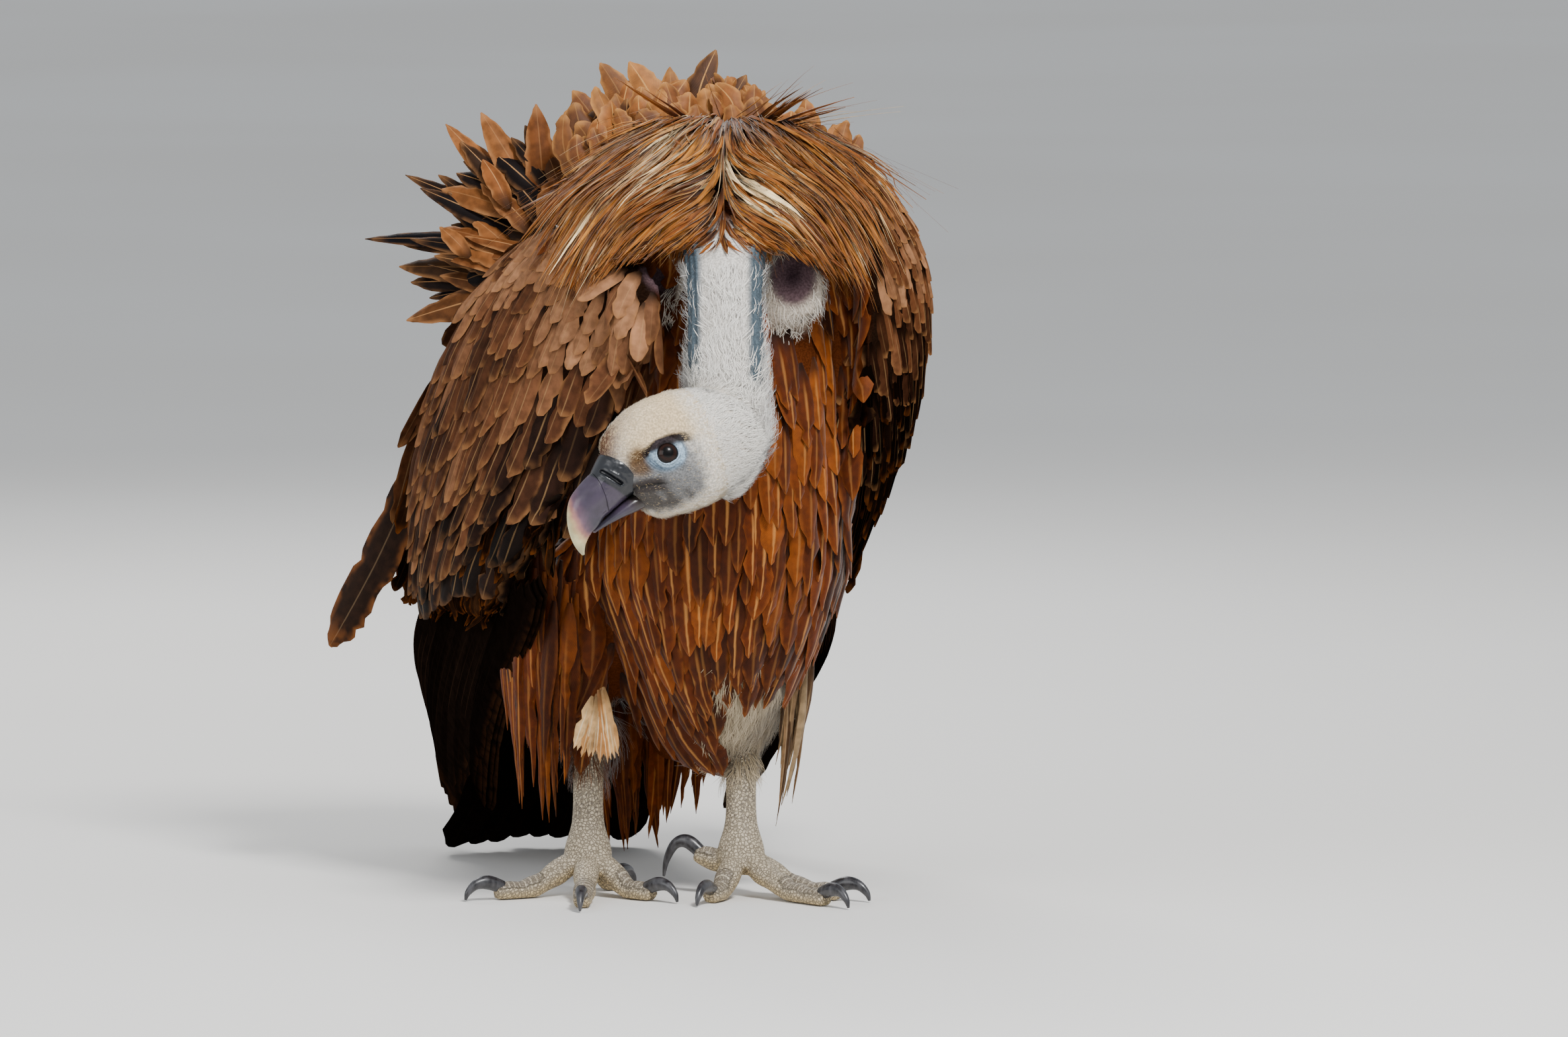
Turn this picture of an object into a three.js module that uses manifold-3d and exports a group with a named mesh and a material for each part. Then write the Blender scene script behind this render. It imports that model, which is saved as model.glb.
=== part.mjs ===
// A griffon vulture at life size, standing hunched with its head hung low and turned to its right.
// Millimetres. +Z is up, the bird looks out along -Y, and +X is its left. The floor is z = 0.
import * as THREE from "three";
import Module from "manifold-3d";

const wasm = await Module();
wasm.setup();
const { Manifold, Mesh } = wasm;

// ---- Driving dimensions ----------------------------------------------------------------------

const GAP = 0.3; // clear space between neighbouring solids
const COARSENESS = 0.25; // how far a cut face may be straightened
const BODY_YAW = 20; // degrees: the tail swings towards the bird's right
const BACK_HEIGHT = 585; // top of the back, under the raised feathers
const CREST_HEIGHT = 637; // tip of the tallest raised feather
const BREAST_WIDTH = 204;
const NECK_WIDTH = 56;
const HEAD_LENGTH = 96; // back of the skull to the cere
const CULMEN = 54; // cere to the bend of the bill
const EYE_DIAMETER = 22;
const TARSUS_LENGTH = 104;
const TARSUS_WIDTH = 25;
const TOE_HEIGHT = 17;
const CLAW_LENGTH = 30;
const TAIL_LENGTH = 285;
const QUILL_THICKNESS = 2.4; // a large feather, shaft included

const STANCE = { right: [-58, -6], left: [58, -8] }; // where each foot joint stands
const FOOT_JOINT_HEIGHT = 33;
const RAISED_HIND_TOE = 30; // the left hind toe is lifted off the floor

// ---- Plumage and skin colours ----------------------------------------------------------------

const slots = {
  rufous_plumage: [0x8a4a1e, 0.85],
  brown_plumage: [0x6a482e, 0.8],
  tawny_plumage: [0xa8713c, 0.8],
  dark_plumage: [0x241a15, 0.75],
  white_down: [0xe6dfd0, 0.95],
  scaly_skin: [0x8d8270, 0.7],
  cere: [0x3d434c, 0.45],
  bill_horn: [0x8f8a82, 0.35],
  claw_horn: [0x3a3a3c, 0.35],
  eye: [0x1c0d07, 0.08],
};

// ---- Small vector and curve tools -------------------------------------------------------------

const vec = (x, y, z) => new THREE.Vector3(x, y, z);
const radians = (degrees) => (degrees * Math.PI) / 180;
const mix = (a, b, t) => a + (b - a) * t;
const between = (a, b, t) => a.map((value, i) => mix(value, b[i], t));

// Rows of numbers read as a smooth curve at t from 0 to 1 (Catmull-Rom).
function along(rows, t) {
  const last = rows.length - 1;
  const at = Math.min(t * last, last - 1e-9);
  const i = Math.floor(at);
  const s = at - i;
  const [p, a, b, q] = [i - 1, i, i + 1, i + 2].map((k) => rows[Math.max(0, Math.min(last, k))]);
  return a.map((_, n) => {
    const bend = 2 * p[n] - 5 * a[n] + 4 * b[n] - q[n];
    const twist = -p[n] + 3 * a[n] - 3 * b[n] + q[n];
    return a[n] + 0.5 * s * (b[n] - p[n] + s * (bend + s * twist));
  });
}

// A point in the trunk's own frame: to the bird's left, backwards, and up.
function inBody(left, back, up) {
  const turn = radians(BODY_YAW);
  return [
    46 + left * Math.cos(turn) - back * Math.sin(turn),
    -20 + left * Math.sin(turn) + back * Math.cos(turn),
    up,
  ];
}

// ---- Closed solids ----------------------------------------------------------------------------

function solidFrom(points, triangles) {
  const make = (tris) =>
    new Manifold(new Mesh({
      numProp: 3,
      vertProperties: new Float32Array(points.flat()),
      triVerts: new Uint32Array(tris.flat()),
    }));
  const made = make(triangles);
  return made.volume() > 0 ? made : make(triangles.map(([a, b, c]) => [a, c, b]));
}

// A closed body through rings of points, each end closed to the middle of its ring.
function throughRings(rings) {
  const sides = rings[0].length;
  const points = rings.flat();
  const triangles = [];
  for (let r = 0; r + 1 < rings.length; r++) {
    for (let s = 0; s < sides; s++) {
      const next = (s + 1) % sides;
      const [a, b, c, d] = [r * sides + s, r * sides + next, (r + 1) * sides + next, (r + 1) * sides + s];
      triangles.push([a, b, c], [a, c, d]);
    }
  }
  for (const [ring, start] of [[rings[0], 0], [rings.at(-1), (rings.length - 1) * sides]]) {
    const middle = ring.reduce((sum, p) => sum.map((v, i) => v + p[i] / sides), [0, 0, 0]);
    const pole = points.push(middle) - 1;
    for (let s = 0; s < sides; s++) {
      const [a, b] = [start + s, start + ((s + 1) % sides)];
      triangles.push(start ? [a, b, pole] : [b, a, pole]);
    }
  }
  return solidFrom(points, triangles);
}

// A limb along a smooth line. Rows are x, y, z, half width, half depth; width lies along `across`.
function limb(rows, { sides = 12, steps = 12, across = [1, 0, 0], square = 2 } = {}) {
  const rings = [];
  for (let k = 0; k <= steps; k++) {
    const t = k / steps;
    const [x, y, z, wide, deep] = along(rows, t);
    const before = along(rows, Math.max(0, t - 0.02));
    const after = along(rows, Math.min(1, t + 0.02));
    const tangent = vec(after[0] - before[0], after[1] - before[1], after[2] - before[2]).normalize();
    const side = vec(...across);
    side.addScaledVector(tangent, -side.dot(tangent)).normalize();
    const front = tangent.clone().cross(side);
    rings.push(ovalRing(sides, square).map(([u, v]) => [
      x + side.x * u * wide + front.x * v * deep,
      y + side.y * u * wide + front.y * v * deep,
      z + side.z * u * wide + front.z * v * deep,
    ]));
  }
  return throughRings(rings);
}

// Points around a unit oval; a power over 2 squares it off.
function ovalRing(sides, power = 2) {
  return Array.from({ length: sides }, (_, s) => {
    const angle = (2 * Math.PI * s) / sides;
    const flat = (value) => Math.sign(value) * Math.abs(value) ** (2 / power);
    return [flat(Math.cos(angle)), flat(Math.sin(angle))];
  });
}

// One large feather: a thin lens-shaped blade from root to tip, `bow` off the straight line
// towards `face`, the way that its upper surface looks.
function blade({ root, tip, width, face, bow = 0, sway = 0, thick = QUILL_THICKNESS, steps = 6, point = 0.8 }) {
  const [from, to] = [vec(...root), vec(...tip)];
  const run = to.clone().sub(from).normalize();
  const normal = vec(...face);
  normal.addScaledVector(run, -normal.dot(run)).normalize();
  const side = run.clone().cross(normal);
  const rings = [];
  for (let k = 0; k <= steps; k++) {
    const t = k / steps;
    const middle = from.clone().lerp(to, t);
    middle.addScaledVector(normal, bow * Math.sin(Math.PI * t));
    middle.addScaledVector(side, sway * Math.sin(Math.PI * t));
    const swell = Math.min(1, 0.35 + 2.2 * t) * Math.sqrt(Math.max(0, 1 - Math.max(0, (t - point) / (1 - point)) ** 2));
    const half = Math.max(0.8, (width / 2) * swell);
    const high = (thick / 2) * mix(1, 0.6, t);
    rings.push([[-1, -0.12], [0, 1], [1, -0.12], [0, -1]].map(([u, v]) => {
      const p = middle.clone().addScaledVector(side, u * half).addScaledVector(normal, v * high - Math.abs(u) * half * 0.12);
      return [p.x, p.y, p.z];
    }));
  }
  return throughRings(rings);
}

// Feathers that lie side by side as one thin sheet. `roots` and `tips` are smooth lines of points,
// and each feather's tip stands `notch` of its length beyond the cut between it and the next.
function fan({ roots, tips, feathers, notch = 0.08, thick = 3, bow = 0, face, rows = 4, sharp = 1 }) {
  const columns = feathers * 2;
  const outward = vec(...face).normalize();
  const lay = (layer) => {
    const points = [];
    for (let c = 0; c <= columns; c++) {
      const u = c / columns;
      const root = along(roots, u);
      const tip = along(tips, u);
      const reach = c % 2 ? 1 : 1 - notch * sharp;
      for (let r = 0; r <= rows; r++) {
        const v = (r / rows) * reach;
        const [x, y, z] = between(root, tip, v);
        const run = vec(tip[0] - root[0], tip[1] - root[1], tip[2] - root[2]).normalize();
        const normal = outward.clone().addScaledVector(run, -outward.dot(run)).normalize();
        const lift = bow * Math.sin(Math.PI * v) + layer * (thick / 2) * mix(1, 0.55, v) + (c % 2 ? 0.8 : -0.8);
        points.push([x + normal.x * lift, y + normal.y * lift, z + normal.z * lift]);
      }
    }
    return points;
  };
  const upper = lay(1);
  const lower = lay(-1);
  const points = [...upper, ...lower];
  const at = (layer, c, r) => layer * upper.length + c * (rows + 1) + r;
  const triangles = [];
  for (let c = 0; c < columns; c++) {
    for (let r = 0; r < rows; r++) {
      const [a, b, d, e] = [at(0, c, r), at(0, c + 1, r), at(0, c + 1, r + 1), at(0, c, r + 1)];
      const [f, g, h, i] = [at(1, c, r), at(1, c + 1, r), at(1, c + 1, r + 1), at(1, c, r + 1)];
      triangles.push([a, b, d], [a, d, e], [f, h, g], [f, i, h]);
    }
  }
  const rim = [];
  for (let c = 0; c < columns; c++) rim.push([c, 0]);
  for (let r = 0; r < rows; r++) rim.push([columns, r]);
  for (let c = columns; c > 0; c--) rim.push([c, rows]);
  for (let r = rows; r > 0; r--) rim.push([0, r]);
  rim.forEach(([c, r], k) => {
    const [c2, r2] = rim[(k + 1) % rim.length];
    const [a, b, d, e] = [at(0, c, r), at(0, c2, r2), at(1, c2, r2), at(1, c, r)];
    triangles.push([a, d, b], [a, e, d]);
  });
  return solidFrom(points, triangles);
}

// A hollow-backed shell such as a folded wing, from level slices. Each row is the height, the
// front point x, y, the back point x, y, how far the outer face bulges and how thick the shell is.
function shell(rows, outward, { steps = 10, arc = 7 } = {}) {
  const rings = [];
  for (let k = 0; k <= steps; k++) {
    const [z, frontX, frontY, backX, backY, bulge, thick] = along(rows, k / steps);
    const [dx, dy] = [backX - frontX, backY - frontY];
    const chord = Math.hypot(dx, dy);
    const [nx, ny] = [(-dy / chord) * outward, (dx / chord) * outward];
    const face = (t, lift) => [mix(frontX, backX, t) + nx * lift, mix(frontY, backY, t) + ny * lift, z];
    const ring = [];
    for (let s = 0; s <= arc; s++) {
      const t = s / arc;
      ring.push(face(t, bulge * Math.sin(Math.PI * t) ** 0.8));
    }
    for (let s = arc - 1; s > 0; s--) {
      const t = s / arc;
      ring.push(face(t, bulge * Math.sin(Math.PI * t) ** 0.8 - thick * Math.sin(Math.PI * t) ** 0.35));
    }
    rings.push(ring);
  }
  return throughRings(rings);
}

// The same solid grown all round by a small step: each corner moves until the faces that meet in it
// have all moved that far. A thin blade, whose faces meet too sharply for that, is swept instead.
function grown(solid, step) {
  const mesh = solid.getMesh();
  const corners = Array.from({ length: mesh.vertProperties.length / 3 }, (_, i) => ({
    at: vec(...mesh.vertProperties.slice(i * 3, i * 3 + 3)),
    faces: [],
    normal: vec(0, 0, 0),
  }));
  const triangles = [];
  for (let t = 0; t < mesh.triVerts.length; t += 3) {
    const triangle = [...mesh.triVerts.slice(t, t + 3)];
    const [a, b, c] = triangle.map((i) => corners[i].at);
    const face = b.clone().sub(a).cross(c.clone().sub(a)).normalize();
    triangles.push(triangle);
    triangle.forEach((i, k) => {
      const [from, to] = [triangle[(k + 1) % 3], triangle[(k + 2) % 3]].map((n) => corners[n].at.clone().sub(corners[i].at));
      corners[i].faces.push(face);
      corners[i].normal.addScaledVector(face, from.angleTo(to));
    });
  }
  const moved = corners.map(({ at, faces, normal }) => {
    normal.normalize();
    const least = Math.max(0.4, Math.min(...faces.map((face) => face.dot(normal))));
    const p = at.clone().addScaledVector(normal, step / least);
    return [p.x, p.y, p.z];
  });
  const swollen = solidFrom(moved, triangles);
  return solid.subtract(swollen).volume() < 1e-3 ? swollen : solid.minkowskiSum(Manifold.sphere(step, 4));
}

// Whether two solids' boxes come within a step of each other.
function near(one, other, step) {
  const [a, b] = [one.boundingBox(), other.boundingBox()];
  return [0, 1, 2].every((i) => a.min[i] < b.max[i] + step && b.min[i] < a.max[i] + step);
}

// ---- The bird, built up solid by solid ---------------------------------------------------------

const placed = [];

// Adds a solid under its name, cut back by what already stands in its place.
function place(name, slot, whole) {
  const step = GAP + COARSENESS;
  let rest = whole;
  for (const other of placed) {
    if (!near(rest, other.whole, step)) continue;
    other.keepOut ??= grown(other.whole, step);
    if (rest.intersect(other.keepOut).volume() > 0) rest = rest.subtract(other.keepOut);
  }
  const [largest] = rest.decompose().sort((a, b) => b.volume() - a.volume());
  placed.push({ name, slot, whole, solid: largest.simplify(COARSENESS) });
}

const onFloor = (solid) => solid.trimByPlane([0, 0, 1], 0);
const mirror = { right: -1, left: 1 };

// ---- Head --------------------------------------------------------------------------------------

// The head's own frame: forwards along the bill, to the bird's left, and up.
const HEAD_AT = [17, -193, 348];
const HEAD_TURN = 68; // degrees from straight ahead, to the bird's right
const HEAD_DROP = 20; // degrees that the bill points down

function inHead(forward, left, up) {
  const turn = radians(HEAD_TURN);
  const drop = radians(HEAD_DROP);
  const level = forward * Math.cos(drop) + up * Math.sin(drop);
  return [
    HEAD_AT[0] - level * Math.sin(turn) + left * Math.cos(turn),
    HEAD_AT[1] - level * Math.cos(turn) - left * Math.sin(turn),
    HEAD_AT[2] - forward * Math.sin(drop) + up * Math.cos(drop),
  ];
}

// A body through the head's cross-sections. Rows are forward, top, bottom, half width, and how
// far the section's top leans ahead of its middle.
function headLoft(rows, { sides = 14, steps = 8, square = 2.2 } = {}) {
  const rings = [];
  for (let k = 0; k <= steps; k++) {
    const [forward, top, bottom, half, lean] = along(rows, k / steps);
    rings.push(ovalRing(sides, square).map(([u, v]) =>
      inHead(forward + lean * v, u * half, mix(bottom, top, (v + 1) / 2))));
  }
  return throughRings(rings);
}

function buildEyes() {
  for (const [side, sign] of Object.entries(mirror)) {
    const centre = inHead(21, sign * 23.5, 11.5);
    place("eye_" + side, "eye", Manifold.sphere(EYE_DIAMETER / 2, 14).translate(centre));
  }
}

function buildBill() {
  const face = HEAD_LENGTH / 2;
  place("cere", "cere", headLoft([
    [face - 3, 26, -8, 17.5, 7],
    [face + 4, 26, -9.5, 17.5, 8],
    [face + 12, 23.5, -12, 16, 4],
    [face + 20, 19, -15.5, 14.5, 1],
    [face + 24.6, 15.5, -17.5, 13.6, 0],
  ], { sides: 12, steps: 5 }));
  place("upper_bill", "bill_horn", billHook(face));
  // The lower bill lies inside the cutting edge of the upper.
  place("lower_bill", "bill_horn", headLoft([
    [face - 8, -9, -24, 13.5, 0],
    [face + 4, -10.5, -23.5, 12.5, 0],
    [face + 16, -14.5, -23.5, 10.5, 0],
    [face + 28, -19.5, -24.5, 7.5, 0],
    [face + 38, -23.5, -26.5, 3.5, 0],
  ], { sides: 8, steps: 4 }));
}

// The hook runs forward, then turns down past the lower bill to its point.
function billHook(face) {
  const reach = CULMEN;
  const rows = [
    [face + 25.4, -1.2, 16.5, 13.6],
    [face + 33, -4.8, 16, 12.5],
    [face + reach * 0.79, -10.5, 14.5, 10.5],
    [face + reach * 0.9, -18.5, 10.5, 8],
    [face + reach * 0.955, -27, 6.2, 5.2],
    [face + reach * 0.965, -33.5, 3.2, 2.8],
    [face + reach * 0.955, -38.6, 0.9, 0.8],
  ];
  const rings = [];
  const steps = 8;
  for (let k = 0; k <= steps; k++) {
    const t = k / steps;
    const [forward, up, deep, half] = along(rows, t);
    const slope = radians(mix(0, 82, t ** 1.4));
    rings.push(ovalRing(10, 2.3).map(([u, v]) =>
      inHead(forward + v * deep * Math.sin(slope), u * half, up + v * deep * Math.cos(slope))));
  }
  return throughRings(rings);
}

function buildHead() {
  const half = HEAD_LENGTH / 2;
  place("head", "white_down", headLoft([
    [-half - 15, 6, -16, 13, 0],
    [-half - 3, 26, -24, 25, 0],
    [-half * 0.72, 40, -33, 33, 0],
    [-half * 0.25, 50, -40, 36, 0],
    [half * 0.12, 52.5, -41, 35.5, 0],
    [half * 0.48, 52, -39, 31, 1],
    [half * 0.8, 46.5, -36, 25, 4],
    [half * 1.02, 37, -30, 18.5, 8],
    [half * 1.1, 28, -25, 13.5, 8],
  ], { sides: 14, steps: 9, square: 2.1 }));
}

// ---- Neck and trunk ----------------------------------------------------------------------------

function buildNeck() {
  const half = NECK_WIDTH / 2;
  place("neck", "white_down", limb([
    [46, -88, 506, half + 6, half + 6],
    [46, -118, 489, half + 2, half + 2],
    [46, -142, 462, half - 1, half],
    [47, -153, 425, half, half + 1],
    [48, -160, 390, half + 3, half + 3],
    [50, -167, 358, half + 3, half + 3],
    [46, -175, 334, half - 5, half - 3],
    [40, -180, 324, half - 14, half - 12],
  ], { sides: 12, steps: 9 }));
}

function buildTrunk() {
  // Height, front, back, half width, each in the trunk's own frame.
  const half = BREAST_WIDTH / 2;
  const rows = [
    [BACK_HEIGHT, 5, 62, 34],
    [BACK_HEIGHT - 14, -38, 84, 70],
    [BACK_HEIGHT - 45, -66, 106, 98],
    [500, -82, 122, 112],
    [450, -92, 142, half + 4],
    [376, -100, 172, half - 2],
    [300, -98, 188, half + 6],
    [240, -88, 186, half + 8],
    [180, -66, 168, half - 24],
    [130, -30, 140, half - 48],
    [90, 22, 112, half - 72],
  ];
  const rings = [];
  const steps = 13;
  for (let k = 0; k <= steps; k++) {
    const [z, front, back, wide] = along(rows, k / steps);
    rings.push(ovalRing(16, 2.15).map(([u, v]) => inBody(u * wide, mix(front, back, (v + 1) / 2), z)));
  }
  place("trunk", "rufous_plumage", throughRings(rings));
}

// The bare crop pushes the collar out on the bird's left.
function buildCrop() {
  place("crop", "scaly_skin", limb([
    [88, -84, 498, 15, 10],
    [93, -96, 480, 24, 16],
    [98, -98, 462, 25, 17],
    [102, -96, 444, 18, 12],
  ], { sides: 12, steps: 6 }));
}

// ---- Ruff, crest and raised feathers -----------------------------------------------------------

function buildRuff() {
  const common = { face: [0, -0.7, 0.7], thick: 9, rows: 3, notch: 0.14 };
  place("ruff_right", "tawny_plumage", fan({
    ...common,
    roots: [[44, -24, 590], [30, -30, 590], [0, -20, 588], [-32, 0, 574], [-44, 20, 556]],
    tips: [[44, -137, 497], [6, -142, 484], [-40, -132, 466], [-80, -104, 466], [-104, -64, 484]],
    feathers: 6,
    bow: 26,
  }));
  place("ruff_left", "tawny_plumage", fan({
    ...common,
    roots: [[50, -24, 590], [66, -30, 590], [96, -20, 588], [128, 0, 576], [142, 20, 560]],
    tips: [[50, -137, 497], [88, -140, 484], [130, -122, 468], [166, -92, 470], [186, -44, 500]],
    feathers: 6,
    bow: 26,
  }));
}

function buildCrest() {
  const top = CREST_HEIGHT;
  const common = { face: [0, -1, 0.25], thick: 4, rows: 3 };
  place("crest_front", "tawny_plumage", fan({
    ...common,
    roots: [[-64, 22, 548], [-40, 12, 566], [0, 6, 578], [46, 4, 582], [90, 10, 574], [122, 24, 552]],
    tips: [[-84, 30, 590], [-62, 26, 606], [-12, 22, 616], [44, 20, 622], [92, 22, 606], [126, 34, 582]],
    feathers: 8,
    notch: 0.3,
  }));
  place("crest_back", "tawny_plumage", fan({
    ...common,
    roots: [[-58, 52, 540], [-40, 44, 566], [-6, 42, 576], [34, 40, 580], [70, 44, 574], [96, 56, 552]],
    tips: [[-80, 60, 606], [-48, 56, top - 8], [0, 54, top - 11], [38, 52, top + 2], [66, 52, top - 18], [92, 58, top - 48]],
    feathers: 7,
    notch: 0.34,
  }));
  place("crest_rear", "brown_plumage", fan({
    ...common,
    roots: [[-54, 88, 528], [-26, 84, 552], [10, 84, 558], [48, 86, 552], [76, 96, 528]],
    tips: [[-78, 112, 566], [-36, 110, 596], [8, 110, 604], [50, 112, 592], [82, 120, 560]],
    feathers: 6,
    notch: 0.34,
  }));
  place("crest_left", "tawny_plumage", fan({
    ...common,
    face: [0.3, -1, 0.2],
    roots: [[104, 46, 520], [126, 44, 526], [146, 44, 520]],
    tips: [[118, 60, 580], [136, 62, 584], [160, 66, 566]],
    feathers: 3,
    notch: 0.3,
    rows: 3,
  }));
}

// The ruffled scapulars that stand out over the bird's right shoulder.
function buildRaisedScapulars() {
  const root = [-92, 58, 520];
  const feathers = [
    { tip: [-98, 70, 595], width: 26, lift: [0, 0, 6] },
    { tip: [-140, 80, 588], width: 28, lift: [-6, 2, 0] },
    { tip: [-167, 84, 579], width: 24, lift: [-10, 6, -10] },
    { tip: [-198, 88, 540], width: 17, lift: [-12, 8, -20] },
    { tip: [-186, 70, 531], width: 22, lift: [-8, 0, -28] },
    { tip: [-229, 92, 491], width: 16, lift: [-12, 10, -36], bow: 9 },
    { tip: [-194, 74, 492], width: 18, lift: [-10, 2, -44], bow: 5 },
    { tip: [-203, 90, 470], width: 28, lift: [-14, 8, -54], bow: 5 },
    { tip: [-197, 74, 430], width: 28, lift: [-16, 0, -66], bow: 5 },
  ];
  feathers.forEach(({ tip, width, lift, bow = 3 }, i) => {
    const tawny = i < 3 || i > 6;
    place("scapular_" + (i + 1), tawny ? "tawny_plumage" : "dark_plumage", blade({
      root: root.map((v, k) => v + lift[k]),
      tip,
      width,
      bow,
      face: [0.1, -0.9, 0.5],
      steps: 5,
      point: tawny ? 0.72 : 0.5,
    }));
  });
}

// A moulted quill that sticks out behind the right wing.
function buildLooseQuill() {
  place("loose_quill", "dark_plumage", blade({
    root: [-182, 108, 336],
    tip: [-258, 122, 176],
    width: 36,
    face: [-0.5, -0.85, 0.2],
    bow: 4,
    sway: -8,
    thick: 3,
    point: 0.7,
  }));
}

// ---- Wings -------------------------------------------------------------------------------------

function buildRightWing() {
  place("wing_right_coverts", "brown_plumage", shell([
    [512, -62, -56, -92, 0, 8, 16],
    [494, -40, -96, -118, 18, 16, 36],
    [460, -24, -116, -148, 40, 24, 48],
    [415, -24, -122, -172, 62, 27, 50],
    [365, -34, -118, -190, 90, 26, 46],
    [315, -62, -102, -200, 112, 24, 40],
    [262, -100, -78, -198, 138, 20, 32],
    [222, -116, -54, -196, 158, 16, 22],
    [206, -122, -30, -192, 160, 12, 12],
  ], 1));
  place("wrist_right", "brown_plumage", limb([
    [-30, -112, 488, 16, 9],
    [-20, -124, 468, 27, 14],
    [-20, -130, 440, 24, 13],
    [-24, -132, 415, 14, 8],
  ], { sides: 10, steps: 5 }));
  flightFeathers("right", {
    roots: [[-121, -32, 205], [-140, 18, 205], [-158, 66, 205], [-175, 112, 205], [-190, 156, 205]],
    tips: [[-154, 296, 24], [-166, 316, 22], [-179, 314, 38], [-186, 288, 74], [-191, 252, 118]],
    face: [-0.85, -0.5, 0],
    bow: 6,
  });
}

function buildLeftWing() {
  place("wing_left_coverts", "brown_plumage", shell([
    [546, 148, -40, 160, 14, 8, 14],
    [520, 152, -64, 184, 46, 14, 32],
    [482, 156, -84, 196, 78, 22, 42],
    [436, 154, -92, 198, 110, 26, 44],
    [380, 148, -88, 190, 142, 26, 40],
    [320, 138, -70, 172, 172, 24, 34],
    [270, 128, -46, 152, 196, 20, 26],
    [232, 118, -22, 134, 210, 14, 14],
  ], -1));
  flightFeathers("left", {
    roots: [[117, -24, 231], [121, 34, 231], [126, 92, 231], [130, 150, 231], [134, 208, 231]],
    tips: [[48, 298, 36], [42, 330, 28], [52, 334, 46], [76, 320, 80], [98, 300, 118]],
    face: [1, 0.1, 0],
    bow: 15,
  });
}

// The quills below the coverts: primaries along the leading edge, then secondaries behind them.
function flightFeathers(side, { roots, tips, face, bow }) {
  const part = (line, from, to) => [0, 0.25, 0.5, 0.75, 1].map((t) => along(line, mix(from, to, t)));
  for (const [kind, from, to, feathers] of [["primaries", 0, 0.495, 7], ["secondaries", 0.505, 1, 6]]) {
    place("wing_" + side + "_" + kind, "dark_plumage", fan({
      roots: part(roots, from, to),
      tips: part(tips, from, to),
      feathers,
      notch: 0.07,
      thick: 6,
      bow,
      face,
      rows: 3,
    }));
  }
}

// ---- Tail --------------------------------------------------------------------------------------

function buildTail() {
  const rump = inBody(-6, 170, 204);
  const end = [rump[0] - TAIL_LENGTH * 0.3, rump[1] + TAIL_LENGTH * 0.62, 0.5];
  const spread = (centre, half, drop) =>
    [-1, -0.5, 0, 0.5, 1].map((u) => {
      const turn = radians(BODY_YAW);
      const back = -18 * u * u;
      return [
        centre[0] + u * half * Math.cos(turn) - back * Math.sin(turn),
        centre[1] + u * half * Math.sin(turn) + back * Math.cos(turn),
        centre[2] - drop * u * u,
      ];
    });
  place("tail", "dark_plumage", onFloor(fan({
    roots: spread(rump, 34, 8),
    tips: spread(end, 74, 0),
    feathers: 7,
    notch: 0.05,
    thick: 9,
    bow: 8,
    face: [-0.2, 0.55, 0.8],
  })));
}

// ---- Legs --------------------------------------------------------------------------------------

function buildThighs() {
  place("thigh_right", "rufous_plumage", limb([
    [-56, 6, 262, 36, 50],
    [-62, 2, 220, 44, 52],
    [-66, 8, 175, 38, 42],
    [-60, 16, 135, 25, 28],
    [-57, 18, 104, 16, 18],
    [-57, 14, 92, 11, 12],
  ], { sides: 12, steps: 7 }));
  place("thigh_left", "white_down", limb([
    [74, 16, 250, 34, 46],
    [76, 10, 205, 38, 46],
    [72, 12, 160, 33, 38],
    [62, 16, 125, 25, 28],
    [57, 18, 98, 17, 18],
    [57, 12, 84, 11, 12],
  ], { sides: 12, steps: 7 }));
  // Long feathers that hang outside each leg.
  place("trouser_right", "rufous_plumage", fan({
    roots: [[-112, -22, 228], [-96, -42, 226], [-70, -50, 222]],
    tips: [[-108, 24, 62], [-94, 10, 52], [-80, -2, 74]],
    feathers: 3,
    notch: 0.1,
    thick: 8,
    bow: 6,
    face: [-0.5, -0.85, 0],
  }));
  place("trouser_left", "white_down", fan({
    roots: [[88, -30, 190], [104, -14, 200], [112, 12, 200]],
    tips: [[76, 12, 62], [84, 20, 44], [92, 34, 70]],
    feathers: 3,
    notch: 0.1,
    thick: 7,
    bow: 5,
    face: [0.6, -0.8, 0],
  }));
}

function buildTarsi() {
  for (const [side, [x, y]] of Object.entries(STANCE)) {
    const half = TARSUS_WIDTH / 2;
    const top = FOOT_JOINT_HEIGHT + TARSUS_LENGTH;
    place("tarsus_" + side, "scaly_skin", limb([
      [x * 0.98, y + 30, top, half * 0.9, half],
      [x, y + 24, top - 22, half * 1.05, half * 1.1],
      [x, y + 14, top - 55, half * 0.92, half],
      [x, y + 6, FOOT_JOINT_HEIGHT + 22, half * 0.98, half * 0.98],
      [x, y, FOOT_JOINT_HEIGHT + 3, half * 1.4, half * 1.2],
      [x, y - 1, FOOT_JOINT_HEIGHT - 9, half * 1.42, half * 1.3],
      [x, y - 2, FOOT_JOINT_HEIGHT - 19, half * 1.1, half],
    ], { sides: 10, steps: 8 }));
  }
}

// Where each toe points, in degrees from straight ahead towards the bird's left, and its length.
const TOES = {
  right: { outer: [-62, 78], middle: [-2, 92], inner: [48, 66], hind: [148, 40] },
  left: { outer: [62, 84], middle: [40, 100], inner: [-22, 62], hind: [-108, 36] },
};

function toePath(side, angle, length) {
  const [x, y] = STANCE[side];
  const turn = radians(angle);
  const at = (reach, height) => [x + Math.sin(turn) * reach, y - Math.cos(turn) * reach, height];
  return { at, turn, length };
}

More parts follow.
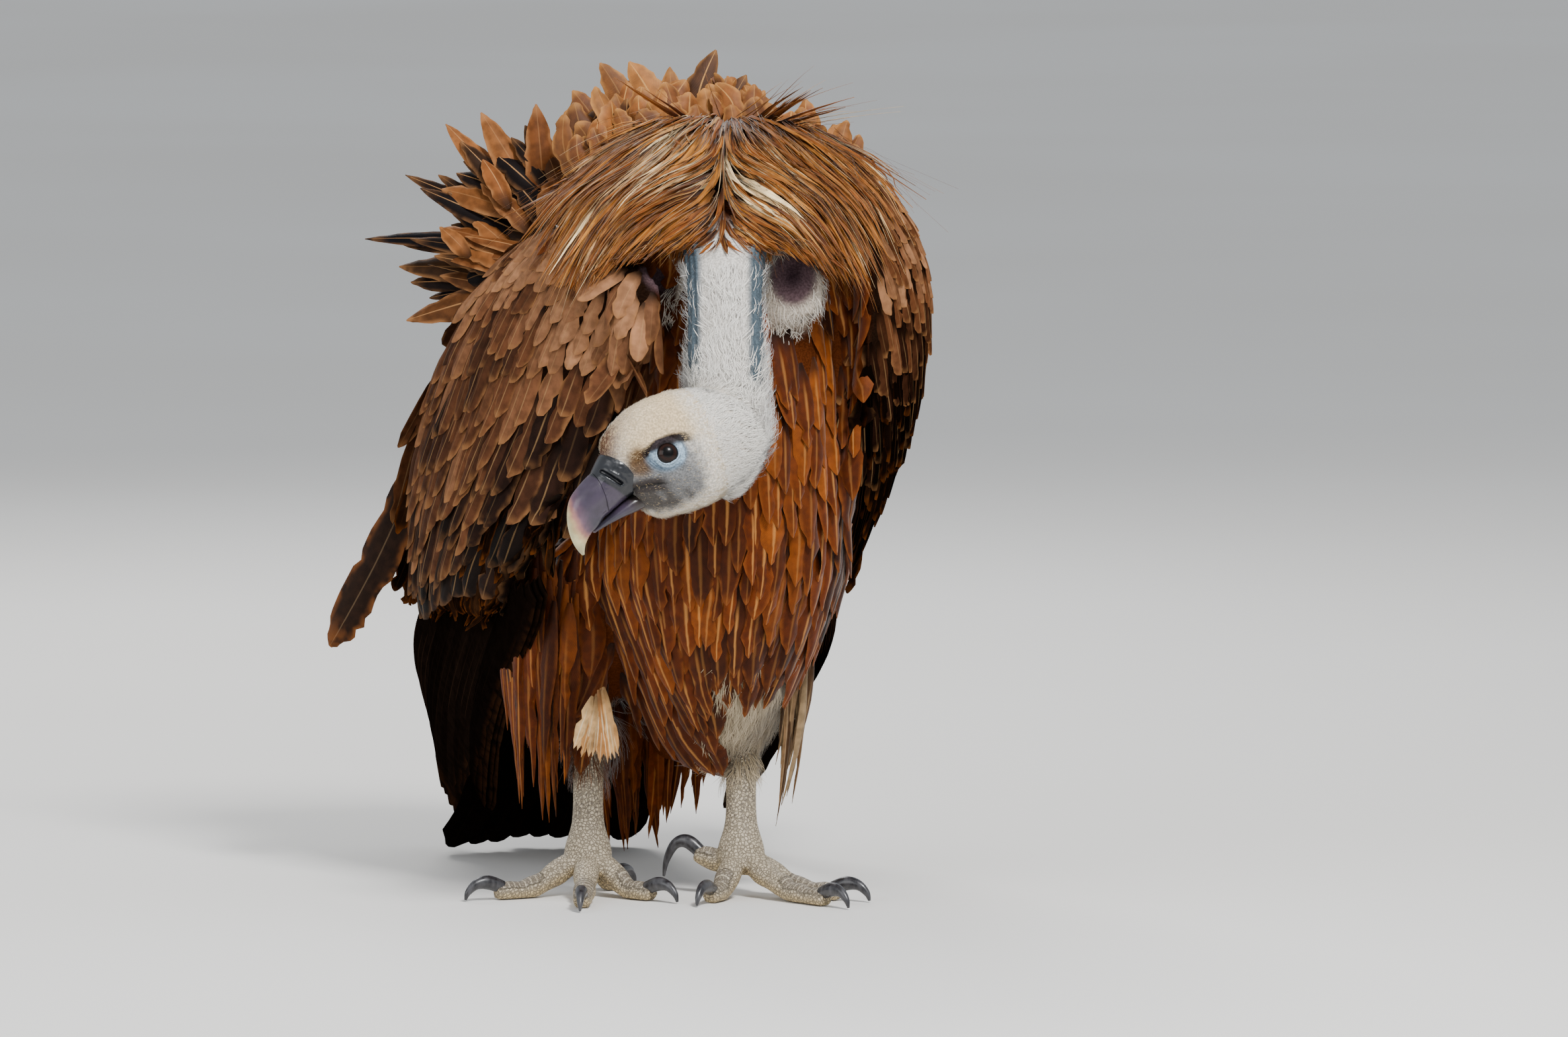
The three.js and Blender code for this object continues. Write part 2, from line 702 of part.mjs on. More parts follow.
function buildFeet() {
  for (const [side, toes] of Object.entries(TOES)) {
    for (const [toe, [angle, length]] of Object.entries(toes)) {
      const path = toePath(side, angle, length);
      const across = [Math.cos(path.turn), Math.sin(path.turn), 0];
      const raised = side === "left" && toe === "hind";
      place("claw_" + toe + "_" + side, "claw_horn", claw(path, across, raised ? RAISED_HIND_TOE : 0));
      place("toe_" + toe + "_" + side, "scaly_skin", toeSolid(path, across, raised ? RAISED_HIND_TOE : 0));
    }
  }
}

// A toe swells at its pads and pinches at its joints, and its sole is flat on the floor.
function toeSolid({ at, length }, across, raised) {
  const thick = TOE_HEIGHT / 2;
  const rows = [];
  const joints = Math.round(length / 28);
  const steps = joints * 2;
  for (let k = 0; k <= steps; k++) {
    const t = k / steps;
    const pad = k % 2 ? 1.06 : 0.93;
    const half = mix(thick * 1.15, thick * 0.78, t) * pad;
    const lying = mix(FOOT_JOINT_HEIGHT - 10, half - 1.2, Math.min(1, t * 1.9) ** 0.8);
    const height = raised ? FOOT_JOINT_HEIGHT - 8 + (raised - FOOT_JOINT_HEIGHT + 8) * t : lying;
    rows.push([...at(mix(17, length, t), height), half, half * 0.96]);
  }
  return onFloor(limb(rows, { sides: 7, steps, across }));
}

// A claw leaves the toe's end, arches forward and comes down, to the floor where the toe lies on it.
function claw({ at, length }, across, raised) {
  const arch = raised ? 2.2 : 1;
  const rows = [
    [-0.17, 9.5, 4.6, 5],
    [0.22, 13.5, 4.8, 5.4],
    [0.55, 12.5, 3.6, 4],
    [0.78, 7, 2.3, 2.6],
    [0.86, 1.2, 0.9, 1],
  ].map(([reach, height, wide, deep]) =>
    [...at(length + CLAW_LENGTH * reach, raised + (height - (raised ? 9.5 : 0)) * arch), wide, deep]);
  return onFloor(limb(rows, { sides: 6, steps: 5, across }));
}

// ---- Order of building: what is placed first keeps its whole shape -----------------------------

buildEyes();
buildHead();
buildBill();
buildTrunk();
buildNeck();
buildTarsi();
buildFeet();
buildThighs();
buildCrop();
buildRightWing();
buildLeftWing();
buildRuff();
buildTail();
buildCrest();
buildRaisedScapulars();
buildLooseQuill();

const vulture = new THREE.Group();
vulture.name = "griffon_vulture";

for (const { name, slot, solid } of placed) {
  const mesh = solid.getMesh();
  const geometry = new THREE.BufferGeometry();
  geometry.setAttribute("position", new THREE.BufferAttribute(new Float32Array(mesh.vertProperties), 3));
  geometry.setIndex(new THREE.BufferAttribute(new Uint32Array(mesh.triVerts), 1));
  geometry.computeVertexNormals();
  const [colour, roughness] = slots[slot];
  const material = new THREE.MeshStandardMaterial({ color: colour, roughness, metalness: 0 });
  material.name = slot;
  const body = new THREE.Mesh(geometry, material);
  body.name = name;
  vulture.add(body);
}

// The origin stands on the floor, at the middle of all that the bird covers.
const middle = new THREE.Box3().setFromObject(vulture).getCenter(vec(0, 0, 0));
vulture.position.set(-middle.x, -middle.y, 0);

export default vulture;
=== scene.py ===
"""A griffon vulture at life size: skin, plumage, bill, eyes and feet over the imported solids."""
import math
import bpy
import numpy as np
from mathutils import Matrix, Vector
from mathutils.bvhtree import BVHTree


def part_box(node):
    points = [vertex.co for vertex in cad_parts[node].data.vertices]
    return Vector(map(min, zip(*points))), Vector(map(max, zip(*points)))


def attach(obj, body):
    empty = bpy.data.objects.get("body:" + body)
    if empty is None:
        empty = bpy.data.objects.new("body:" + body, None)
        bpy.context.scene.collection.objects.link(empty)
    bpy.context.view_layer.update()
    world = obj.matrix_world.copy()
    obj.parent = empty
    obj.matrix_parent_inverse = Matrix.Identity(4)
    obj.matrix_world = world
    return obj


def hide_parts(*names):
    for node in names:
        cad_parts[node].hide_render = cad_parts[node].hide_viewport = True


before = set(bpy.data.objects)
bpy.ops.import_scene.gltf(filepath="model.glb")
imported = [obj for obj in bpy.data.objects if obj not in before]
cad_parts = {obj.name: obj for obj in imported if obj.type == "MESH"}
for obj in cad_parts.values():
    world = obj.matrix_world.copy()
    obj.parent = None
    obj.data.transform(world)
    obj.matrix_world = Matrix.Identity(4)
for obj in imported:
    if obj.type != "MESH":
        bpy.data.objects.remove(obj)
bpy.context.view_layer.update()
random = np.random.default_rng(11)

MM = 0.001
BODY = "root"

# ---- The design frame: millimetres, as the solids were drawn ------------------------------------

HEAD_AT = np.array([17.0, -193.0, 348.0])
HEAD_TURN = math.radians(68)
HEAD_DROP = math.radians(20)
EYE_AT = (21.0, 23.5, 11.5)  # in the head's frame: forward, to the bird's left, up
EYE_RADIUS = 11.0
HALF_HEAD = 48.0
CULMEN = 54.0
BODY_YAW = math.radians(20)
BODY_AXIS = np.array([46.0, -20.0])
PARTING_X = 45.0  # the plane in which the ruff parts, over the neck
FOOT_JOINT_HEIGHT = 33.0
TARSUS_LENGTH = 104.0
TARSUS_HALF = 12.5
TOE_HALF = 8.5
CLAW_LENGTH = 30.0
RAISED_HIND_TOE = 30.0
STANCE = {"right": (-58.0, -6.0), "left": (58.0, -8.0)}
TOES = {
    "right": {"outer": (-62, 78), "middle": (-2, 92), "inner": (48, 66), "hind": (148, 40)},
    "left": {"outer": (62, 84), "middle": (40, 100), "inner": (-22, 62), "hind": (-108, 36)},
}


def in_head(points):
    """Points given as forward, left, up in the head's frame, in the design frame."""
    forward, left, up = np.moveaxis(np.asarray(points, float), -1, 0)
    level = forward * math.cos(HEAD_DROP) + up * math.sin(HEAD_DROP)
    return np.stack([
        HEAD_AT[0] - level * math.sin(HEAD_TURN) + left * math.cos(HEAD_TURN),
        HEAD_AT[1] - level * math.cos(HEAD_TURN) - left * math.sin(HEAD_TURN),
        HEAD_AT[2] - forward * math.sin(HEAD_DROP) + up * math.cos(HEAD_DROP),
    ], axis=-1)


def middle_of(node):
    low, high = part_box(node)
    return np.array((low + high) / 2)


SHIFT = middle_of("eye_left") - in_head(EYE_AT) * MM


def placed(points):
    """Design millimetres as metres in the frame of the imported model."""
    return np.asarray(points, float) * MM + SHIFT


def design(points):
    """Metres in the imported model's frame as design millimetres."""
    return (np.asarray(points, float) - SHIFT) / MM


def head_frame(points):
    """Design points as forward, left, up in the head's frame."""
    away = points - HEAD_AT
    level = -away[..., 0] * math.sin(HEAD_TURN) - away[..., 1] * math.cos(HEAD_TURN)
    left = away[..., 0] * math.cos(HEAD_TURN) - away[..., 1] * math.sin(HEAD_TURN)
    forward = level * math.cos(HEAD_DROP) - away[..., 2] * math.sin(HEAD_DROP)
    up = level * math.sin(HEAD_DROP) + away[..., 2] * math.cos(HEAD_DROP)
    return np.stack([forward, left, up], axis=-1)


def in_body(left, back, up):
    """A point in the trunk's own frame: to the bird's left, backwards, and up."""
    return np.array([
        BODY_AXIS[0] + left * math.cos(BODY_YAW) - back * math.sin(BODY_YAW),
        BODY_AXIS[1] + left * math.sin(BODY_YAW) + back * math.cos(BODY_YAW),
        up,
    ])


# ---- Small numeric tools -------------------------------------------------------------------------

def unit(vectors):
    return vectors / np.maximum(np.linalg.norm(vectors, axis=-1, keepdims=True), 1e-12)


def step(low, high, value):
    """0 below low, 1 above high and smooth between."""
    t = np.clip((value - low) / (high - low), 0, 1)
    return t * t * (3 - 2 * t)


def along(rows, t):
    """Rows of numbers read as a smooth curve (Catmull-Rom) at each t from 0 to 1."""
    rows = np.asarray(rows, float)
    last = len(rows) - 1
    at = np.clip(np.asarray(t, float) * last, 0, last - 1e-9)
    i = at.astype(int)
    s = (at - i)[..., None]
    p, a, b, q = (rows[np.clip(i + k, 0, last)] for k in (-1, 0, 1, 2))
    return a + 0.5 * s * (b - p + s * (2 * p - 5 * a + 4 * b - q + s * (3 * a - p - 3 * b + q)))


def wobble(points, size, seed=0):
    """Smooth noise of about -1 to 1 over points, from sines at three scales."""
    total = np.zeros(points.shape[:-1])
    for octave in range(3):
        turn = np.random.default_rng(seed * 10 + octave).normal(size=(4, 3))
        scaled = points * (2 ** octave) / size
        for k, direction in enumerate(turn):
            total += np.sin(scaled @ direction * 2.2 + k * 1.7 + seed) / (4 * 1.6 ** octave)
    return total


# ---- Meshes --------------------------------------------------------------------------------------

def make_object(name, points, triangles):
    """A mesh object from points in metres and triangles, as whole arrays."""
    mesh = bpy.data.meshes.new(name)
    mesh.vertices.add(len(points))
    mesh.vertices.foreach_set("co", np.ascontiguousarray(points, np.float32).ravel())
    mesh.loops.add(triangles.size)
    mesh.loops.foreach_set("vertex_index", np.ascontiguousarray(triangles, np.int32).ravel())
    mesh.polygons.add(len(triangles))
    mesh.polygons.foreach_set("loop_start", np.arange(0, triangles.size, 3, dtype=np.int32))
    mesh.update(calc_edges=True)
    mesh.polygons.foreach_set("use_smooth", np.ones(len(triangles), bool))
    made = bpy.data.objects.new(name, mesh)
    bpy.context.scene.collection.objects.link(made)
    return made


def facing_out(points, triangles):
    """The triangles, turned over if they enclose a negative volume."""
    a, b, c = (points[triangles[:, k]] for k in range(3))
    inside = np.einsum("ij,ij->", a - points[0], np.cross(b - points[0], c - points[0]))
    return triangles if inside > 0 else triangles[:, ::-1]


def tube_triangles(rings, sides):
    """Triangles of a closed tube of rings, with each end closed as a fan."""
    r, s = (g.ravel() for g in np.meshgrid(np.arange(rings - 1), np.arange(sides), indexing="ij"))
    after = (s + 1) % sides
    a, b, c, d = r * sides + s, r * sides + after, (r + 1) * sides + after, (r + 1) * sides + s
    fan = np.arange(1, sides - 1)
    last = (rings - 1) * sides
    root = np.stack([np.zeros_like(fan), fan + 1, fan], axis=1)
    tip = np.stack([np.full_like(fan, last), last + fan, last + fan + 1], axis=1)
    return np.concatenate([np.stack([a, b, c], 1), np.stack([a, c, d], 1), root, tip])


def add_attribute(made, name, kind, values):
    attribute = made.data.attributes.new(name, kind, "POINT")
    field = {"FLOAT": "value", "FLOAT_VECTOR": "vector", "FLOAT_COLOR": "color"}[kind]
    attribute.data.foreach_set(field, np.ascontiguousarray(values, np.float32).ravel())


def mesh_points(made):
    flat = np.empty(len(made.data.vertices) * 3, np.float32)
    made.data.vertices.foreach_get("co", flat)
    return flat.reshape(-1, 3).astype(float)


def set_points(made, points):
    made.data.vertices.foreach_set("co", np.ascontiguousarray(points, np.float32).ravel())
    made.data.update()


def mesh_normals(made):
    flat = np.empty(len(made.data.vertices) * 3, np.float32)
    made.data.vertex_normals.foreach_get("vector", flat)
    return flat.reshape(-1, 3).astype(float)


def apply_modifiers(made):
    """The object's mesh with its modifiers worked in."""
    bpy.context.view_layer.update()
    graph = bpy.context.evaluated_depsgraph_get()
    mesh = bpy.data.meshes.new_from_object(made.evaluated_get(graph))
    made.modifiers.clear()
    old = made.data
    made.data = mesh
    bpy.data.meshes.remove(old)
    return made


def remeshed(made, voxel, smooth=0):
    """The object as one even mesh of small faces, with its edges softened."""
    remesh = made.modifiers.new("remesh", "REMESH")
    remesh.mode = "VOXEL"
    remesh.voxel_size = voxel * MM
    if smooth:
        soften = made.modifiers.new("soften", "SMOOTH")
        soften.factor = 0.5
        soften.iterations = smooth
    return apply_modifiers(made)


def joined_nodes(name, nodes, grow=0.4):
    """One object of several CAD nodes' meshes, each grown a little so that they meet."""
    points, triangles, start = [], [], 0
    for node in nodes:
        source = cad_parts[node]
        source.data.calc_loop_triangles()
        flat = np.empty(len(source.data.loop_triangles) * 3, np.int32)
        source.data.loop_triangles.foreach_get("vertices", flat)
        co = mesh_points(source)
        welded, index = np.unique(np.round(co, 6), axis=0, return_inverse=True)
        faces = index.ravel()[flat].reshape(-1, 3)
        a, b, c = (welded[faces[:, k]] for k in range(3))
        face_normal = np.cross(b - a, c - a)
        normal = np.zeros_like(welded)
        for k in range(3):
            np.add.at(normal, faces[:, k], face_normal)
        points.append(welded + unit(normal) * grow * MM)
        triangles.append(faces + start)
        start += len(welded)
    return make_object(name, np.concatenate(points), np.concatenate(triangles))


class Surface:
    """A mesh that feathers grow on: its nearest points, smooth normals and random samples."""

    def __init__(self, made):
        mesh = made.data
        mesh.calc_loop_triangles()
        flat = np.empty(len(mesh.loop_triangles) * 3, np.int32)
        mesh.loop_triangles.foreach_get("vertices", flat)
        self.points = mesh_points(made)
        self.faces = flat.reshape(-1, 3)
        self.normals = unit(mesh_normals(made)[self.faces].mean(axis=1))
        self.tree = BVHTree.FromPolygons(self.points.tolist(), self.faces.tolist())

    def nearest(self, points):
        found = [self.tree.find_nearest(Vector(p)) for p in points]
        return np.array([f[0] for f in found]), self.normals[[f[2] for f in found]]

    def sample(self, count, rng):
        a, b, c = (self.points[self.faces[:, k]] for k in range(3))
        area = np.linalg.norm(np.cross(b - a, c - a), axis=1)
        face = rng.choice(len(area), count, p=area / area.sum())
        u, v = rng.random((2, count, 1))
        over = u + v > 1
        u, v = np.where(over, 1 - u, u), np.where(over, 1 - v, v)
        return a[face] + (b[face] - a[face]) * u + (c[face] - a[face]) * v, self.normals[face]


def spaced(points, gap):
    """Which of the points to keep so that none lies nearer to an earlier one than its gap."""
    gap = np.broadcast_to(gap, len(points))
    cell = gap.max()
    cells = {}
    kept = []
    for i, (p, g, key) in enumerate(zip(points, gap, np.floor(points / cell).astype(int))):
        x, y, z = key
        near = [j for dx in (-1, 0, 1) for dy in (-1, 0, 1) for dz in (-1, 0, 1)
                for j in cells.get((x + dx, y + dy, z + dz), ())]
        if near and (np.square(points[near] - p).sum(axis=1) < g * g).any():
            continue
        kept.append(i)
        cells.setdefault((x, y, z), []).append(i)
    return np.array(kept, int)


def scatter(surface, tries, wanted, gap, squeeze=(1, 1, 1), seed=1):
    """Evenly spaced random roots on a surface where `wanted` says so, and their normals.
    `gap` is in millimetres, a number or a function of the design points."""
    rng = np.random.default_rng(seed)
    points, normals = surface.sample(tries, rng)
    keep = wanted(design(points), normals)
    points, normals = points[keep], normals[keep]
    space = gap(design(points)) if callable(gap) else gap
    kept = spaced(design(points) * np.array(squeeze), space)
    return points[kept], normals[kept]


# ---- Shaders -------------------------------------------------------------------------------------

def colour(hex_code, alpha=1.0):
    """An sRGB colour such as "8a4a1e" as linear numbers."""
    parts = [int(hex_code[i:i + 2], 16) / 255 for i in (0, 2, 4)]
    return [(c / 12.92 if c <= 0.04045 else ((c + 0.055) / 1.055) ** 2.4) for c in parts] + [alpha]


class Shader:
    """A material whose node tree is written as plain calls."""

    def __init__(self, name):
        self.material = bpy.data.materials.new(name)
        self.material.use_nodes = True
        self.tree = self.material.node_tree
        self.surface = self.tree.nodes["Principled BSDF"]

    def put(self, socket, value):
        if isinstance(value, bpy.types.NodeSocket):
            self.tree.links.new(value, socket)
        elif value is not None:
            socket.default_value = value

    def node(self, kind, inputs=(), output=0, **settings):
        node = self.tree.nodes.new(kind)
        for key, value in settings.items():
            setattr(node, key, value)
        for key, value in dict(inputs).items():
            self.put(node.inputs[key], value)
        return node.outputs[output]

    def attribute(self, name, output="Fac"):
        return self.node("ShaderNodeAttribute", output=output, attribute_name=name)

    def math(self, operation, a, b=None, c=None, clamp=False):
        inputs = {k: v for k, v in enumerate((a, b, c)) if v is not None}
        return self.node("ShaderNodeMath", inputs, operation=operation, use_clamp=clamp)

    def band(self, value, low, high, to_low=0.0, to_high=1.0):
        """value from low to high read smoothly as to_low to to_high."""
        return self.node("ShaderNodeMapRange", {0: value, 1: low, 2: high, 3: to_low, 4: to_high},
                         interpolation_type="SMOOTHSTEP")

    def mix(self, factor, a, b, blend="MIX"):
        node = self.tree.nodes.new("ShaderNodeMix")
        node.data_type = "RGBA"
        node.blend_type = blend
        self.put(node.inputs[0], factor)
        self.put(node.inputs[6], a)
        self.put(node.inputs[7], b)
        return node.outputs[2]

    def ramp(self, value, stops):
        """Colour stops as (position, hex code)."""
        node = self.tree.nodes.new("ShaderNodeValToRGB")
        self.put(node.inputs[0], value)
        elements = node.color_ramp.elements
        while len(elements) < len(stops):
            elements.new(0.5)
        for element, (position, code) in zip(elements, stops):
            element.position = position
            element.color = colour(code)
        return node.outputs[0]

    def place(self):
        return self.node("ShaderNodeTexCoord", output="Object")

    def noise(self, scale, detail=3.0, vector=None, stretch=None, roughness=0.5):
        vector = vector or self.place()
        if stretch:
            vector = self.node("ShaderNodeMapping", {0: vector, 3: stretch})
        return self.node("ShaderNodeTexNoise",
                         {"Vector": vector, "Scale": scale, "Detail": detail, "Roughness": roughness})

    def bump(self, height, strength, distance, normal=None):
        return self.node("ShaderNodeBump",
                         {"Height": height, "Strength": strength, "Distance": distance, "Normal": normal})

    def finish(self, base, roughness, normal=None, **sockets):
        self.put(self.surface.inputs["Base Color"], base)
        self.put(self.surface.inputs["Roughness"], roughness)
        self.put(self.surface.inputs["Normal"], normal)
        for key, value in sockets.items():
            self.put(self.surface.inputs[key.replace("_", " ")], value)
        return self.material


def feather_material(name, tones, shaft="d9b98a", shaft_share=0.5, shaft_width=0.14, edge="b98d5c",
                     edge_share=0.4, barbs=26.0, painted_root_shade=0.45, gloss=0.3, rough=0.55, sheen=0.15):
    """A feather's vane: tones from the ramp, a pale shaft, pale margins, fine slanting barbs, and painted shade
    darkening it towards the root where the feathers overlap.
    The attribute vane holds the place across (-1 to 1) and along (0 to 1), and a random number."""
    shader = Shader(name)
    across, length, chance = (
        shader.node("ShaderNodeSeparateXYZ", {0: shader.attribute("vane", "Vector")}, output=k)
        for k in range(3))
    side = shader.math("ABSOLUTE", across)
    base = shader.ramp(shader.attribute("tone"), tones)
    value = shader.math("MULTIPLY_ADD", chance, 0.5, 0.75)
    base = shader.mix(1.0, base, shader.node("ShaderNodeCombineColor", {0: value, 1: value, 2: value}),
                      "MULTIPLY")
    mottle = shader.band(shader.noise(130, 4), 0.3, 0.7, 0.72, 1.22)
    base = shader.mix(1.0, base, shader.node("ShaderNodeCombineColor", {0: mottle, 1: mottle, 2: mottle}),
                      "MULTIPLY")
    rim = shader.math("MAXIMUM", shader.band(side, 0.6, 1.0), shader.band(length, 0.84, 1.0))
    rim = shader.math("MULTIPLY", rim, shader.band(shader.attribute("tone"), 0.35, 0.95, edge_share,
                                                   edge_share * 0.4))
    rim = shader.math("MULTIPLY", rim, shader.band(shader.noise(90, 2), 0.3, 0.6))
    base = shader.mix(rim, base, colour(edge))
    streak = shader.band(side, 0.02, shaft_width, 1.0, 0.0)
    streak = shader.math("MULTIPLY", streak, shader.band(length, 0.12, 0.5))
    streak = shader.math("MULTIPLY", streak, shader.band(chance, 0.1, 0.9, 0.25, 1.0))
    base = shader.mix(shader.math("MULTIPLY", streak, shaft_share), base, colour(shaft))
    # Painted shade: each vane darkens towards its root, where the feathers above overlap it.
    base = shader.mix(shader.band(length, 0.0, 0.4, painted_root_shade, 0.0), base, colour("0d0704"))
    slant = shader.math("MULTIPLY_ADD", length, barbs * 14, shader.math("MULTIPLY", side, -barbs * 2.2))
    comb = shader.math("SINE", shader.math("ADD", slant, shader.noise(160, 1)))
    quill = shader.band(side, 0.0, 0.06, 3.0, 0.0)
    normal = shader.bump(shader.math("ADD", comb, quill), 0.2, 0.0002)
    tint = shader.band(comb, -1.0, 1.0, 0.94, 1.04)
    base = shader.mix(1.0, base, shader.node("ShaderNodeCombineColor", {0: tint, 1: tint, 2: tint}),
                      "MULTIPLY")
    return shader.finish(base, rough, normal, Specular_IOR_Level=gloss, Sheen_Weight=sheen,
                         Sheen_Roughness=0.4)


# ---- Feathers, tufts and hairs ---------------------------------------------------------------------

BAKE_PATCH = 0.003  # how wide each tuft is on its piece's bake map


def outline(t, rise, point, sharp, blunt, stem=0.25):
    """A vane's half width along its length: it swells from the stem and closes past `point`."""
    swell = stem + (1 - stem) * np.sin(np.minimum(1, t / rise) * math.pi / 2)
    past = np.clip((t - point) / (1 - point), 0, 1)
    return swell * np.maximum(0.02, 1 - past ** sharp) ** blunt


def unwrapped(roots):
    """Each root's place on a map rolled off the piece: the angle round its middle, and height."""
    middle = (roots.min(axis=0) + roots.max(axis=0)) / 2
    angle = np.arctan2(roots[:, 0] - middle[0], middle[1] - roots[:, 1])
    height = (roots[:, 2] - roots[:, 2].min()) / max(1e-6, np.ptp(roots[:, 2]))
    return np.stack([0.5 + angle / (2 * math.pi) * 0.97, 0.015 + 0.97 * height], axis=1)


def between_rings(rows, t):
    """Rows of rings (count, rings, 3) read at each t from 0 to 1 along them."""
    spot = t * (rows.shape[1] - 1)
    low = np.minimum(spot.astype(int), rows.shape[1] - 2)
    share = (spot - low)[None, :, None]
    return rows[:, low] * (1 - share) + rows[:, low + 1] * share


def vanes(name, lines, outs, width, material, columns=3, camber=0.25, thick=0.9, rise=0.35,
          point=0.55, sharp=2.0, blunt=0.6, ragged=0.12, tone=0.5, roll=0.0, stem=0.25, seed=5,
          replaces=(), crowd=1.6):
    """Closed thin vanes, all in one mesh. lines are (count, rings, 3) in metres along each shaft,
    outs (count, 3) or (count, rings, 3) the way each one's face looks, width in millimetres.
    crowd above 1 brings the rings closer together towards the tips, which rounds them."""
    rng = np.random.default_rng(seed)
    count, rings, _ = lines.shape
    outs = outs if outs.ndim == 3 else np.repeat(outs[:, None], rings, axis=1)
    t = 1 - (1 - np.linspace(0, 1, rings)) ** crowd
    lines, outs = between_rings(lines, t), between_rings(outs, t)
    run = unit(np.gradient(lines, axis=1))
    side = unit(np.cross(run, outs))
    up = np.cross(side, run)
    roll = np.broadcast_to(roll, count)[:, None, None]
    side, up = side * np.cos(roll) + up * np.sin(roll), up * np.cos(roll) - side * np.sin(roll)
    half = np.broadcast_to(width, count)[:, None] / 2 * MM * outline(t, rise, point, sharp, blunt, stem)
    place = np.linspace(-1, 1, columns)
    below = place[1:-1][::-1] if columns > 2 else np.zeros(1)
    place = np.concatenate([place, below])
    over = np.concatenate([np.ones(columns), -np.ones(len(below))])
    uneven = 1 - ragged * rng.random((count, rings, 2)) ** 3 * 3 * step(0.15, 0.5, t)[None, :, None]
    reach = np.where(place[None, None] < 0, uneven[..., :1], uneven[..., 1:])
    across = place * reach * half[..., None]
    sag = -camber * place ** 2 * half[..., None]
    body = over * thick / 2 * MM * (1 - place ** 2) * (1 - 0.5 * t)[None, :, None]
    points = (lines[:, :, None] + side[:, :, None] * across[..., None]
              + up[:, :, None] * (sag + body)[..., None])
    sides = len(place)
    template = tube_triangles(rings, sides)
    template = facing_out(points[0].reshape(-1, 3), template)
    offsets = np.arange(count) * rings * sides
    triangles = (template[None] + offsets[:, None, None]).reshape(-1, 3)
    made = make_object(name, points.reshape(-1, 3), triangles)
    shape = (count, rings, sides)
    chance = rng.random(count)
    spot = np.stack([
        np.broadcast_to(place, shape),
        np.broadcast_to(t[None, :, None], shape),
        np.broadcast_to(chance[:, None, None], shape),
    ], axis=-1)
    add_attribute(made, "vane", "FLOAT_VECTOR", spot)
    add_attribute(made, "tone", "FLOAT", np.broadcast_to(np.reshape(tone, (-1, 1, 1)), shape))
    home = unwrapped(lines[:, 0])
    patch = home[:, None, None] + BAKE_PATCH * (spot[..., :2] * (0.5, 1.0) - (0.0, 0.5))
    layer = made.data.uv_layers.new(name="OFBake")
    layer.data.foreach_set("uv", patch.reshape(-1, 2)[triangles.ravel()].astype(np.float32).ravel())
    if columns > 2:
        made.data.set_sharp_from_angle(angle=math.radians(60))
    made.data.materials.append(material)
    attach(made, BODY)
    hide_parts(*replaces)
    return made


def laid(surface, roots, normals, flow, length, rings=7, lift=0.14, follow=1.0, curl=0.0):
    """Shafts that follow the surface along `flow`, rising off it by `lift` of the length run.
    flow(design points) gives the way the coat lies. Returns the lines and their normals."""
    count = len(roots)
    length = np.broadcast_to(length, count)[:, None] * MM
    stride = length / (rings - 1)
    ground, normal = roots.copy(), normals.copy()
    way = flow(design(roots))
    way = unit(way - normal * np.sum(way * normal, axis=1, keepdims=True))
    lines, outs = [roots.copy()], [normal.copy()]
    for k in range(1, rings):
        ahead = ground + way * stride
        near, turned = surface.nearest(ahead)
        bent = np.sum(turned * normal, axis=1, keepdims=True) > 0.75
        near = np.where(bent, near, ahead)
        turned = np.where(bent, turned, normal)
        ground = ahead + (near - ahead) * follow
        normal = unit(normal + (turned - normal) * follow)
        drift = flow(design(ground))
        way = unit(way + 0.35 * (unit(drift) - way))
        way = unit(way - normal * np.sum(way * normal, axis=1, keepdims=True))
        t = k / (rings - 1)
        height = np.broadcast_to(lift, count)[:, None] * length * t + np.reshape(curl, (-1, 1)) * length * t * t
        lines.append(ground + normal * height)
        outs.append(normal)
    return np.stack(lines, axis=1), np.stack(outs, axis=1)


def arcs(roots, tips, face, bow=0.0, sway=0.0, rings=9):
    """Shafts from roots to tips (design millimetres), bowed towards `face` and to the side."""
    roots, tips = np.asarray(roots, float), np.asarray(tips, float)
    count = len(roots)
    run = unit(tips - roots)
    face = np.broadcast_to(np.asarray(face, float), roots.shape)
    out = unit(face - run * np.sum(face * run, axis=1, keepdims=True))
    side = np.cross(run, out)
    t = np.linspace(0, 1, rings)[None, :, None]
    arch = np.sin(math.pi * t)
    bow, sway = (np.broadcast_to(v, count)[:, None, None] for v in (bow, sway))
    lines = roots[:, None] * (1 - t) + tips[:, None] * t + arch * (out[:, None] * bow + side[:, None] * sway)
    return placed(lines), out


# ---- Camera, floor and light -----------------------------------------------------------------------

VIEW_TARGET = np.array([90.5, 0.0, 285.1])
VIEW_DISTANCE = 9000.0
VIEW_HEIGHT = math.radians(5)
VIEW_WIDTH = 1186.0  # what the picture spans at the target


def build_camera():
    back = np.array([0, -math.cos(VIEW_HEIGHT), math.sin(VIEW_HEIGHT)]) * VIEW_DISTANCE
    data = bpy.data.cameras.new("camera")
    data.sensor_width = 36.0
    data.lens = data.sensor_width * VIEW_DISTANCE / VIEW_WIDTH
    data.clip_end = 60
    camera = bpy.data.objects.new("camera", data)
    camera.location = placed(VIEW_TARGET + back)
    camera.rotation_euler = (math.radians(90) - VIEW_HEIGHT, 0, 0)
    bpy.context.scene.collection.objects.link(camera)
    bpy.context.scene.camera = camera


